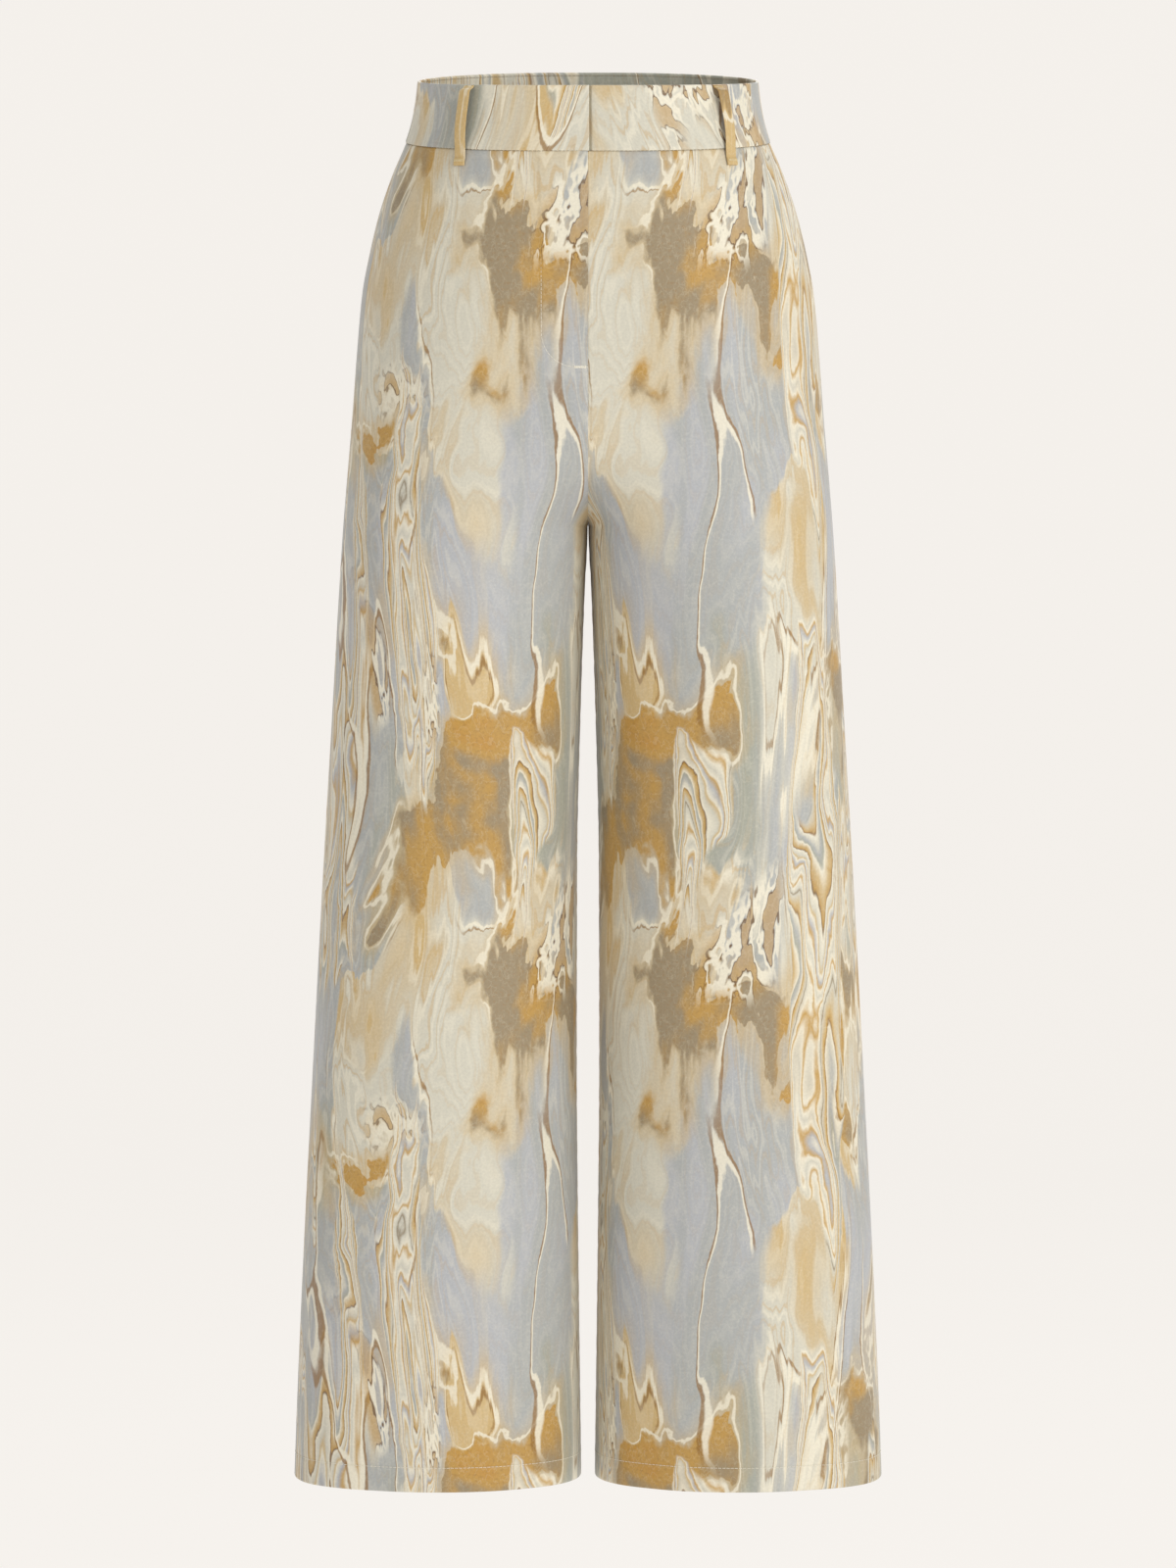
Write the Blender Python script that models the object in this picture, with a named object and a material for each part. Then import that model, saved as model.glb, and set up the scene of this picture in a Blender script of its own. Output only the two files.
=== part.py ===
"""Straight-leg trousers in their worn, hollow form, cut and sewn from flat panels.

Metres, +Z up, the front faces -Y and the wearer's left is +X. The origin is the centre of the
waist opening, level with the top edge of the waistband at the sides.

Every piece is a cloth wall on one body form. At each height the form is a rounded ring: one
ring round the hips, which parts into one ring for each leg below the crotch. A place on the
form is a height and an angle: 0 at the side, -90 degrees at the front, +90 at the back and
180 at the inside of the leg.
"""

import math
from collections import namedtuple
from functools import lru_cache

import bmesh
import bpy
from mathutils import Vector

# ---------------------------------------------------------------- driving sizes, in metres

SEAM_GAP = 0.0003          # clear space between two pieces that are sewn together

PANEL_WALL = 0.0014        # the cloth of the legs
HEM_DEPTH = 0.020          # the turned-up hem
HEM_WALL = 0.0026          # the cloth and its turn-up
EDGE_ROUND = 0.0004        # how far a folded edge draws in
EDGE_RUN = 0.0008          # over which length it does

BAND_PROUD = 0.0006        # how far the waistband stands out from the legs' cloth
BAND_WALL = 0.0024
BAND_LINING_ROUND = 0.6    # share of the outer face's rounding that the inner face has

WAIST_FRONT_DROP = 0.0090  # the waistband's top edge dips in front and rises behind
WAIST_BACK_RISE = 0.0122
SEAM_SIDE_DROP = 0.0445    # the seam under the waistband
SEAM_FRONT_DROP = 0.0566
SEAM_BACK_DROP = 0.0340
TILT_END = -0.200          # below this height the panels' rows lie level

FORK = -0.232              # the front and back begin to curve in towards the crotch
CROTCH = -0.328            # and meet here; below it each leg is a ring of its own
FORK_START_EASE = 3.0
FORK_END_EASE = 0.68
CENTRE_FLAT = 0.06         # how much the centre lies back above the fork, 0 is flat
SQUARE = 2.15              # how square the rings are, 2 is an ellipse
HEM = -1.034
SIDE_SEAM_ANGLE = math.radians(5)   # a little behind the widest point, out of the front view
RING_SAMPLES = 60

LAP_EDGE = 0.0007          # the right front's edge, just past the centre
LAP_STEP_START = 0.0050    # where the left waistband begins to step in under the lap
LAP_STEP_DEPTH = 0.0028
LAP_EXTENSION = 0.036      # how far it runs on under the right front

LOOP_WIDTH = 0.0090
LOOP_WALL = 0.0016
LOOP_STAND_OFF = 0.0058    # clear space between the loop and the waistband
LOOP_TAIL = 0.0125         # how far a loop reaches below the waistband's seam
LOOP_SEAT = 0.0055         # length of the flat sewn end
LOOP_RISE = 0.0121         # over which length it rises to its full stand-off

ZIP_CENTRE = -0.0080       # behind the right front
ZIP_TOP = -0.0690
ZIP_BOTTOM = -0.2040
ZIP_SEAT = -0.0020         # the tape's outer face at its sewn edge
ZIP_CHAIN_FACE = -0.0033   # and beside the chain
ZIP_TAPE_WALL = 0.0009
ZIP_CHAIN_WIDTH = 0.0048
ZIP_CHAIN_WALL = 0.0020
ZIP_CHAIN_PROUD = 0.0002    # the chain's outer face stands this far out from the tapes'
RIGHT_TAPE_EDGE = -0.0250
LEFT_TAPE_EDGE = 0.0080
SLIDER_WIDTH = 0.0080
SLIDER_BODY = 0.0100
SLIDER_TAB_END = -0.0900
SLIDER_FACE = -0.0020
SLIDER_TAB_WALL = 0.0009
SLIDER_WALL = 0.0040
SLIDER_NOSE_WALL = 0.0028  # it thins and narrows towards its top

# ---------------------------------------------------------------- the body form

# height of the ring, half the width over both sides, half the gap between the legs, how far
# the leg's middle has moved out from the centre (1 is the middle of the leg), and how far the
# ring reaches to the front and the back
Ring = namedtuple("Ring", "name z half_width half_gap apart front back")

RINGS = (
    Ring("above the waist", 0.030, 0.1245, 0.0000, 0.20, 0.0950, 0.0900),
    Ring("waist", 0.000, 0.1252, 0.0000, 0.22, 0.0960, 0.0930),
    Ring("waistband middle", -0.025, 0.1284, 0.0000, 0.25, 0.0985, 0.0980),
    Ring("waistband seam", -0.0445, 0.1338, 0.0000, 0.29, 0.1010, 0.1035),
    Ring("upper hip", -0.070, 0.1445, 0.0000, 0.35, 0.1045, 0.1100),
    Ring("dart end", -0.099, 0.1543, 0.0000, 0.42, 0.1070, 0.1170),
    Ring("high hip", -0.128, 0.1613, 0.0000, 0.50, 0.1082, 0.1225),
    Ring("hip", -0.157, 0.1667, 0.0000, 0.58, 0.1082, 0.1260),
    Ring("seat", -0.201, 0.1707, 0.0000, 0.70, 0.1068, 0.1272),
    Ring("under the seat", -0.245, 0.1740, 0.0000, 0.82, 0.1045, 0.1230),
    Ring("crotch", -0.328, 0.1810, 0.0002, 0.97, 0.0995, 0.1095),
    Ring("top of the leg", -0.376, 0.1842, 0.0024, 1.00, 0.0972, 0.1035),
    Ring("thigh", -0.463, 0.1893, 0.0054, 1.00, 0.0950, 0.0975),
    Ring("above the knee", -0.580, 0.1963, 0.0080, 1.00, 0.0928, 0.0930),
    Ring("below the knee", -0.725, 0.2042, 0.0083, 1.00, 0.0906, 0.0895),
    Ring("calf", -0.842, 0.2104, 0.0074, 1.00, 0.0888, 0.0870),
    Ring("shin", -0.958, 0.2159, 0.0060, 1.00, 0.0870, 0.0845),
    Ring("hem", -1.034, 0.2189, 0.0050, 1.00, 0.0860, 0.0830),
)

# the ring at one height: the leg's middle, its reach from there to the side and to the centre,
# and its depths
Size = namedtuple("Size", "middle outward inward front back")


def between_rings(column, z):
    """A ring's size at any height, on a smooth curve through the table that never overshoots."""
    rows = RINGS
    if z >= rows[0].z:
        return getattr(rows[0], column)
    if z <= rows[-1].z:
        return getattr(rows[-1], column)
    at = max(i for i in range(len(rows) - 1) if rows[i].z >= z)

    def slope(i):
        if not 0 <= i < len(rows) - 1:
            return None
        rise = getattr(rows[i + 1], column) - getattr(rows[i], column)
        return rise / (rows[i + 1].z - rows[i].z)

    def tangent(i):
        before, after = slope(i - 1), slope(i)
        if before is None or after is None:
            return before if after is None else after
        if before * after <= 0:
            return 0.0
        return 2 * before * after / (before + after)

    start, end = rows[at], rows[at + 1]
    span = end.z - start.z
    t = (z - start.z) / span
    return (
        (2 * t**3 - 3 * t**2 + 1) * getattr(start, column)
        + (t**3 - 2 * t**2 + t) * span * tangent(at)
        + (3 * t**2 - 2 * t**3) * getattr(end, column)
        + (t**3 - t**2) * span * tangent(at + 1)
    )


@lru_cache(maxsize=None)
def ring_at(z):
    half_width = between_rings("half_width", z)
    half_gap = between_rings("half_gap", z)
    middle = between_rings("apart", z) * (half_width + half_gap) / 2
    down = max(0.0, min(1.0, (FORK - z) / (FORK - CROTCH)))
    stands_out = (1 - down**FORK_START_EASE) ** FORK_END_EASE
    closed = max(CENTRE_FLAT, (1 - stands_out**SQUARE) ** (1 / SQUARE))
    inward = (middle - half_gap) / closed
    return Size(
        middle,
        half_width - middle,
        inward,
        between_rings("front", z),
        between_rings("back", z),
    )


def signed_power(value, power):
    return math.copysign(abs(value) ** power, value)


def form_gauge(x, y, z):
    """Below 0 inside the form, 0 on it. x is counted from the centre towards one side."""
    ring = ring_at(z)
    across = ring.outward if x > ring.middle else ring.inward
    depth = ring.front if y < 0 else ring.back
    return (abs(x - ring.middle) / across) ** SQUARE + (abs(y) / depth) ** SQUARE - 1


def form_point(z, angle, side=1, offset=0.0):
    """The point at this height and angle, moved out from the form by the offset."""
    ring = ring_at(z)
    across = ring.outward if math.cos(angle) > 0 else ring.inward
    depth = ring.front if angle < 0 else ring.back
    x = ring.middle + across * signed_power(math.cos(angle), 2 / SQUARE)
    y = depth * signed_power(math.sin(angle), 2 / SQUARE)
    step = 2e-5
    outward = Vector((
        form_gauge(x + step, y, z) - form_gauge(x - step, y, z),
        form_gauge(x, y + step, z) - form_gauge(x, y - step, z),
        form_gauge(x, y, z + step) - form_gauge(x, y, z - step),
    )).normalized()
    point = Vector((x, y, z)) + outward * offset
    point.x *= side
    return point


def angle_at(x, z, face):
    """The angle of the place that lies this far from the centre, on the front or the back."""
    ring = ring_at(z)
    across = ring.outward if x > ring.middle else ring.inward
    reach = max(-1.0, min(1.0, (x - ring.middle) / across))
    return face * math.acos(signed_power(reach, SQUARE / 2))


def moved_along(z, angle, towards, length):
    """The angle that lies this length along the ring from the given one."""
    step = 0.01
    sign = 1 if towards > angle else -1
    here = form_point(z, angle)
    there = form_point(z, angle + sign * step)
    return angle + sign * step * length / (there - here).length


@lru_cache(maxsize=None)
def angles_along(z, face, start_x, columns):
    """Angles evenly spaced by length, from this far from the centre round to the side seam."""
    start = angle_at(start_x, z, face)
    if z <= CROTCH:
        start = moved_along(z, face * math.pi, 0.0, SEAM_GAP / 2)
    seam = moved_along(z, SIDE_SEAM_ANGLE, face * math.pi, SEAM_GAP / 2)
    fine = [start + (seam - start) * i / RING_SAMPLES for i in range(RING_SAMPLES + 1)]
    points = [form_point(z, angle) for angle in fine]
    run = [0.0]
    for before, after in zip(points, points[1:]):
        run.append(run[-1] + (after - before).length)
    angles = [start]
    at = 0
    for j in range(1, columns):
        target = run[-1] * j / columns
        while run[at + 1] < target:
            at += 1
        share = (target - run[at]) / (run[at + 1] - run[at])
        angles.append(fine[at] + (fine[at + 1] - fine[at]) * share)
    return angles + [seam]


def tilted(side_height, front_height, back_height, y_share):
    """A tilted edge's height: its own at the sides, the centre front and the centre back."""
    rise = (back_height - front_height) / 2
    bow = (back_height + front_height) / 2 - side_height
    return side_height + rise * y_share + bow * y_share * y_share


def waist_height(angle):
    y_share = signed_power(math.sin(angle), 2 / SQUARE)
    return tilted(0.0, -WAIST_FRONT_DROP, WAIST_BACK_RISE, y_share)


def seam_height(angle):
    y_share = signed_power(math.sin(angle), 2 / SQUARE)
    return tilted(-SEAM_SIDE_DROP, -SEAM_FRONT_DROP, -SEAM_BACK_DROP, y_share)


# ---------------------------------------------------------------- making a wall of cloth


def cloth_material(name, colour, roughness, metallic=0.0):
    material = bpy.data.materials.get(name) or bpy.data.materials.new(name)
    material.use_nodes = True
    shader = material.node_tree.nodes["Principled BSDF"]
    shader.inputs["Base Color"].default_value = (*colour, 1.0)
    shader.inputs["Roughness"].default_value = roughness
    shader.inputs["Metallic"].default_value = metallic
    return material


def wall(name, outer, inner, material, parent):
    """One closed wall between two grids of points, with the outer one facing out."""
    mesh = bmesh.new()
    rows, columns = len(outer), len(outer[0])
    skins = [[[mesh.verts.new(p) for p in row] for row in grid] for grid in (outer, inner)]
    out, into = skins
    for i in range(rows - 1):
        for j in range(columns - 1):
            mesh.faces.new((out[i][j], out[i + 1][j], out[i + 1][j + 1], out[i][j + 1]))
            mesh.faces.new((into[i][j], into[i][j + 1], into[i + 1][j + 1], into[i + 1][j]))
    for i in range(rows - 1):
        mesh.faces.new((out[i][0], into[i][0], into[i + 1][0], out[i + 1][0]))
        mesh.faces.new((out[i][-1], out[i + 1][-1], into[i + 1][-1], into[i][-1]))
    for j in range(columns - 1):
        mesh.faces.new((out[0][j], out[0][j + 1], into[0][j + 1], into[0][j]))
        mesh.faces.new((out[-1][j], into[-1][j], into[-1][j + 1], out[-1][j + 1]))
    bmesh.ops.recalc_face_normals(mesh, faces=mesh.faces)
    data = bpy.data.meshes.new(name)
    mesh.to_mesh(data)
    mesh.free()
    data.shade_smooth()
    data.materials.append(material)
    piece = bpy.data.objects.new(name, data)
    piece.parent = parent
    bpy.context.collection.objects.link(piece)
    return piece


# ---------------------------------------------------------------- the legs' four panels

PANEL_COLUMNS = 14
HIP_ROWS = 8
FORK_ROWS = 9
LEG_ROWS = 14

# height at the side, how far the outer face draws in, and the wall's thickness
PanelRow = namedtuple("PanelRow", "z draw_in wall")


def panel_rows():
    """The rows of a leg panel, from the waistband's seam to the folded hem."""
    top = -SEAM_SIDE_DROP - SEAM_GAP / 2
    rows = [PanelRow(top, EDGE_ROUND, PANEL_WALL - EDGE_ROUND)]
    for i in range(HIP_ROWS):
        start = top - EDGE_RUN
        rows.append(PanelRow(start + (FORK - start) * i / HIP_ROWS, 0.0, PANEL_WALL))
    for i in range(FORK_ROWS):
        down = 1 - (1 - i / FORK_ROWS) ** 2
        rows.append(PanelRow(FORK + (CROTCH - FORK) * down, 0.0, PANEL_WALL))
    hem_top = HEM + HEM_DEPTH
    for i in range(LEG_ROWS + 1):
        rows.append(PanelRow(CROTCH + (hem_top - CROTCH) * i / LEG_ROWS, 0.0, PANEL_WALL))
    rows.append(PanelRow(hem_top - EDGE_RUN, 0.0, HEM_WALL))
    rows.append(PanelRow(HEM + EDGE_RUN, 0.0, HEM_WALL))
    rows.append(PanelRow(HEM, EDGE_ROUND, HEM_WALL - 2 * EDGE_ROUND))
    return rows


def panel_height(row_z, angle):
    """A panel row's height at this angle: tilted with the seam at the top, level from the hips."""
    top = -SEAM_SIDE_DROP
    fade = max(0.0, min(1.0, (row_z - TILT_END) / (top - TILT_END)))
    return row_z + (seam_height(angle) - top) * fade


def leg_panel(name, side, face, material, parent):
    outer, inner = [], []
    for row in panel_rows():
        outer_row, inner_row = [], []
        for angle in angles_along(row.z, face, SEAM_GAP / 2, PANEL_COLUMNS):
            z = panel_height(row.z, angle)
            outer_row.append(form_point(z, angle, side, -row.draw_in))
            inner_row.append(form_point(z, angle, side, -row.draw_in - row.wall))
        outer.append(outer_row)
        inner.append(inner_row)
    return wall(name, outer, inner, material, parent)


# ---------------------------------------------------------------- the waistband

# how far down the band, from 0 at the top edge to 1 at the seam, plus a length in metres, and
# how far both faces draw in there
BandRow = namedtuple("BandRow", "down length draw_in")

BAND_ROWS = (
    BandRow(0.0, 0.0, 0.0007),
    BandRow(0.0, 0.0008, 0.0),
    BandRow(0.33, 0.0, 0.0),
    BandRow(0.67, 0.0, 0.0),
    BandRow(1.0, -0.0009, 0.0),
    BandRow(1.0, -SEAM_GAP / 2, 0.0005),
)

# a place along the band: its side of the body, its angle, and how far it steps in
Station = namedtuple("Station", "side angle step_in")


def right_front_stations(z):
    """From the side seam to the centre, and just past it."""
    angles = angles_along(z, -1, LAP_STEP_START, PANEL_COLUMNS)
    stations = [Station(-1, angle, 0.0) for angle in reversed(angles)]
    return stations + [Station(1, angle_at(LAP_EDGE, z, -1), 0.0)]


def left_front_stations(z):
    """From the side seam to the centre, then stepped in and on under the right front."""
    angles = angles_along(z, -1, LAP_STEP_START, PANEL_COLUMNS)
    stations = [Station(1, angle, 0.0) for angle in reversed(angles)]
    stations.append(Station(1, angle_at(LAP_EDGE + SEAM_GAP, z, -1), LAP_STEP_DEPTH))
    for share in (1 / 3, 2 / 3, 1.0):
        under = angle_at(LAP_EXTENSION * share, z, -1)
        stations.append(Station(-1, under, LAP_STEP_DEPTH))
    return stations


def back_stations(z):
    """Round the back from one side seam to the other."""
    angles = angles_along(z, 1, 0.0, PANEL_COLUMNS)
    left = [Station(1, angle, 0.0) for angle in reversed(angles)]
    return left + [Station(-1, angle, 0.0) for angle in angles[1:]]


def waistband(name, stations_at, material, parent):
    outer, inner = [], []
    for row in BAND_ROWS:
        outer_row, inner_row = [], []
        for station in stations_at(-SEAM_SIDE_DROP * row.down):
            top, seam = waist_height(station.angle), seam_height(station.angle)
            z = top + (seam - top) * row.down - row.length
            face = BAND_PROUD - station.step_in
            args = (z, station.angle, station.side)
            outer_row.append(form_point(*args, face - row.draw_in))
            lining = BAND_WALL - row.draw_in * BAND_LINING_ROUND
            inner_row.append(form_point(*args, face - lining))
        outer.append(outer_row)
        inner.append(inner_row)
    return wall(name, outer, inner, material, parent)


# ---------------------------------------------------------------- belt loops

# wearer's side (0 is the centre back), front or back, and how far from the centre the loop's
# middle lies at its top and its bottom
Loop = namedtuple("Loop", "name side face top_x bottom_x")

LOOPS = (
    Loop("loop_front_right", -1, -1, 0.0854, 0.0929),
    Loop("loop_front_left", 1, -1, 0.0932, 0.1042),
    Loop("loop_back_right", -1, 1, 0.0900, 0.0960),
    Loop("loop_back_left", 1, 1, 0.0900, 0.0960),
    Loop("loop_centre_back", 0, 1, 0.0, 0.0),
)
LOOP_ROWS = 12
LOOP_COLUMNS = 2


def loop_places(loop, z, x):
    """Side and angle of the places across a loop, whose middle lies this far from the centre."""
    places = []
    for j in range(LOOP_COLUMNS + 1):
        across = LOOP_WIDTH * (j / LOOP_COLUMNS - 0.5)
        if loop.side == 0:
            side = -1 if across < 0 else 1
            places.append((side, angle_at(abs(across), z, loop.face)))
        else:
            middle = angle_at(x, z, loop.face)
            places.append((loop.side, moved_along(z, middle, middle - 1, across)))
    return places


def belt_loop(loop, material, parent):
    """A narrow strip, sewn flat at both ends, that arches clear of the waistband."""
    middle = angle_at(loop.top_x, -SEAM_SIDE_DROP / 2, loop.face)
    top = waist_height(middle) - EDGE_RUN
    seam = seam_height(middle)
    bottom = seam - LOOP_TAIL
    outer, inner = [], []
    for i in range(LOOP_ROWS + 1):
        down = i / LOOP_ROWS
        z = top + (bottom - top) * down
        free = max(0.0, min(top - LOOP_SEAT - z, z - bottom - LOOP_SEAT))
        rise = min(1.0, free / LOOP_RISE)
        arch = LOOP_STAND_OFF * math.sin(rise * math.pi / 2)
        onto_panel = max(0.0, min(1.0, (seam + LOOP_SEAT - z) / LOOP_SEAT))
        clear = SEAM_GAP + BAND_PROUD * (1 - onto_panel) + arch
        outer_row, inner_row = [], []
        for side, angle in loop_places(loop, z, loop.top_x + (loop.bottom_x - loop.top_x) * down):
            inner_row.append(form_point(z, angle, side, clear))
            outer_row.append(form_point(z, angle, side, clear + LOOP_WALL))
        outer.append(outer_row)
        inner.append(inner_row)
    return wall(loop.name, outer, inner, material, parent)


# ---------------------------------------------------------------- the zip behind the fly

# signed distance from the centre, and the offsets of the outer and the inner face there
Strip = namedtuple("Strip", "x face wall")


def laid_inside(name, strips_at, heights, material, parent):
    """A narrow piece on the inside of the fronts, worked out from their own form."""
    outer, inner = [], []
    for z in heights:
        outer_row, inner_row = [], []
        for strip in strips_at(z):
            side = -1 if strip.x < 0 else 1
            angle = angle_at(abs(strip.x), z, -1)
            outer_row.append(form_point(z, angle, side, strip.face))
            inner_row.append(form_point(z, angle, side, strip.face - strip.wall))
        outer.append(outer_row)
        inner.append(inner_row)
    return wall(name, outer, inner, material, parent)


def heights_between(top, bottom, rows):
    return [top + (bottom - top) * i / rows for i in range(rows + 1)]


# how far from the sewn edge to the chain, and how much of the way inwards the tape has bowed
TapeBow = namedtuple("TapeBow", "across inwards")

TAPE_BOWS = (
    TapeBow(0.0, 0.0),
    TapeBow(0.3, 0.216),
    TapeBow(0.65, 0.718),
    TapeBow(1.0, 1.0),
)


def zip_tape(name, sewn_edge, material, parent):
    """From its sewn edge the tape bows inwards to the chain, and keeps clear of the slider."""
    towards = math.copysign(1, sewn_edge - ZIP_CENTRE)
    slider_end = ZIP_TOP - EDGE_RUN

    def strips_at(z):
        half = SLIDER_WIDTH / 2 if z >= slider_end else ZIP_CHAIN_WIDTH / 2
        chain_edge = ZIP_CENTRE + towards * (half + SEAM_GAP)
        strips = []
        for bow in TAPE_BOWS:
            face = ZIP_SEAT + (ZIP_CHAIN_FACE - ZIP_SEAT) * bow.inwards
            x = sewn_edge + (chain_edge - sewn_edge) * bow.across
            strips.append(Strip(x, face, ZIP_TAPE_WALL))
        return strips

    heights = [ZIP_TOP + SLIDER_BODY, slider_end]
    heights += heights_between(slider_end - EDGE_RUN, ZIP_BOTTOM, 5)
    return laid_inside(name, strips_at, heights, material, parent)


def zip_chain(material, parent):
    half = ZIP_CHAIN_WIDTH / 2
    face = ZIP_CHAIN_FACE + ZIP_CHAIN_PROUD
    strips = [Strip(ZIP_CENTRE + x, face, ZIP_CHAIN_WALL) for x in (-half, 0.0, half)]
    heights = heights_between(ZIP_TOP - EDGE_RUN - SEAM_GAP, ZIP_BOTTOM, 6)
    return laid_inside("zip_chain", lambda z: strips, heights, material, parent)


# a cross-section of the slider: its height, half its width, and its thickness
SliderRow = namedtuple("SliderRow", "z half_width wall")

SLIDER_ROWS = (
    SliderRow(ZIP_TOP + SLIDER_BODY, 0.0027, SLIDER_NOSE_WALL),
    SliderRow(ZIP_TOP + SLIDER_BODY / 2, 0.0034, SLIDER_WALL),
    SliderRow(ZIP_TOP, 0.0024, SLIDER_WALL),
    SliderRow(ZIP_TOP - EDGE_RUN, 0.0020, SLIDER_TAB_WALL),
    SliderRow(SLIDER_TAB_END, 0.0020, SLIDER_TAB_WALL),
)


def zip_slider(material, parent):
    """The slider's body above the chain's top end, and its tab, which lies flat over the chain."""
    outer, inner = [], []
    for row in SLIDER_ROWS:
        outer_row, inner_row = [], []
        for x in (ZIP_CENTRE - row.half_width, ZIP_CENTRE + row.half_width):
            angle = angle_at(abs(x), row.z, -1)
            outer_row.append(form_point(row.z, angle, -1, SLIDER_FACE))
            inner_row.append(form_point(row.z, angle, -1, SLIDER_FACE - row.wall))
        outer.append(outer_row)
        inner.append(inner_row)
    return wall("zip_slider", outer, inner, material, parent)


# ---------------------------------------------------------------- the whole garment


def main():
    for old in list(bpy.data.objects):
        bpy.data.objects.remove(old)
    waist = bpy.data.objects.new("waist_centre", None)
    bpy.context.collection.objects.link(waist)

    printed = cloth_material("printed_cloth", (0.56, 0.48, 0.36), 0.55)
    band = cloth_material("waistband_cloth", (0.60, 0.50, 0.36), 0.55)
    strip = cloth_material("loop_cloth", (0.58, 0.50, 0.40), 0.55)
    tape = cloth_material("zip_tape_cloth", (0.62, 0.56, 0.46), 0.8)
    coil = cloth_material("zip_coil", (0.58, 0.52, 0.42), 0.4)
    metal = cloth_material("zip_metal", (0.62, 0.56, 0.42), 0.3, 1.0)

    for side, wearer_side in ((-1, "right"), (1, "left")):
        leg_panel("front_" + wearer_side, side, -1, printed, waist)
        leg_panel("back_" + wearer_side, side, 1, printed, waist)
    waistband("waistband_front_right", right_front_stations, band, waist)
    waistband("waistband_front_left", left_front_stations, band, waist)
    waistband("waistband_back", back_stations, band, waist)
    for loop in LOOPS:
        belt_loop(loop, strip, waist)

    zip_tape("zip_tape_right", RIGHT_TAPE_EDGE, tape, waist)
    zip_tape("zip_tape_left", LEFT_TAPE_EDGE, tape, waist)
    zip_chain(coil, waist)
    zip_slider(metal, waist)


main()
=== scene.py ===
"""Straight-leg trousers in smooth marbled cloth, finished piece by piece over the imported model."""

import math
from collections import namedtuple
from types import SimpleNamespace

import bmesh
import bpy
import numpy as np
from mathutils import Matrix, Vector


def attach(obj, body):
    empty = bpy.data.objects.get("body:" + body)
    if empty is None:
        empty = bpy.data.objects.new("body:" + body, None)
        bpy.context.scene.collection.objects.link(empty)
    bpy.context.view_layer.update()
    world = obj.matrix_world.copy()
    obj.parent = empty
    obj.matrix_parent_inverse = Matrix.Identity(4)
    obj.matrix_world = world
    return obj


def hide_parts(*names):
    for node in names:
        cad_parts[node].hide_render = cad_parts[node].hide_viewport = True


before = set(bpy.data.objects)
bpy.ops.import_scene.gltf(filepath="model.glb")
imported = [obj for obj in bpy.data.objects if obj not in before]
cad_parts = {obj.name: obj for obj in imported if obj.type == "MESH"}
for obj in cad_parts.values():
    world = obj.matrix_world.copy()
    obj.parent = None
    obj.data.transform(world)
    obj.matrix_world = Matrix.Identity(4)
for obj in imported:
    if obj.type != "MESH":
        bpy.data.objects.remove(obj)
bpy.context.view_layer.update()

# ---------------------------------------------------------------- the two fronts
# Each front is one flat-cut panel of thin printed cloth, from the waistband's seam to its hem,
# which is turned up inside and stitched. It is sewn to the back along the side and the inside of
# the leg, and to the other front below the fly, where the right front laps over the left.

# The body form that the cloth hangs on, ring by ring: height, half the width over both sides,
# half the gap between the legs, how far the leg's middle has moved out from the centre (1 is the
# middle of the leg), and how far the ring reaches to the front and the back.
RINGS = np.array((
    (-1.0340, 0.2189, 0.0050, 1.00, 0.0860, 0.0830),  # hem
    (-0.9580, 0.2159, 0.0060, 1.00, 0.0870, 0.0845),  # shin
    (-0.8420, 0.2104, 0.0074, 1.00, 0.0888, 0.0870),  # calf
    (-0.7250, 0.2042, 0.0083, 1.00, 0.0906, 0.0895),  # below the knee
    (-0.5800, 0.1963, 0.0080, 1.00, 0.0928, 0.0930),  # above the knee
    (-0.4630, 0.1893, 0.0054, 1.00, 0.0950, 0.0975),  # thigh
    (-0.3760, 0.1842, 0.0024, 1.00, 0.0972, 0.1035),  # top of the leg
    (-0.3280, 0.1810, 0.0002, 0.97, 0.0995, 0.1095),  # crotch
    (-0.2450, 0.1740, 0.0000, 0.82, 0.1045, 0.1230),  # under the seat
    (-0.2010, 0.1707, 0.0000, 0.70, 0.1068, 0.1272),  # seat
    (-0.1570, 0.1667, 0.0000, 0.58, 0.1082, 0.1260),  # hip
    (-0.1280, 0.1613, 0.0000, 0.50, 0.1082, 0.1225),  # high hip
    (-0.0990, 0.1543, 0.0000, 0.42, 0.1070, 0.1170),  # dart end
    (-0.0700, 0.1445, 0.0000, 0.35, 0.1045, 0.1100),  # upper hip
    (-0.0445, 0.1338, 0.0000, 0.29, 0.1010, 0.1035),  # waistband seam
    (-0.0250, 0.1284, 0.0000, 0.25, 0.0985, 0.0980),  # waistband middle
    (0.0000, 0.1252, 0.0000, 0.22, 0.0960, 0.0930),  # waist
    (0.0300, 0.1245, 0.0000, 0.20, 0.0950, 0.0900),  # above the waist
))
SQUARE = 2.15              # how square the rings are: 2 gives ellipses
# heights: where the centre seam starts to curve in, where the legs part, and the hem
FORK, CROTCH, HEM = -0.232, -0.328, -1.034
FORK_START_EASE, FORK_END_EASE = 3.0, 0.68
CENTRE_FLAT = 0.06
SIDE_SEAM_ANGLE = math.radians(5)
WAIST_TOP = {"side": 0.0, "front": -0.0090, "back": 0.0122}
WAIST_SEAM = {"side": -0.0445, "front": -0.0566, "back": -0.0340}
TILT_END = -0.200

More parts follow.
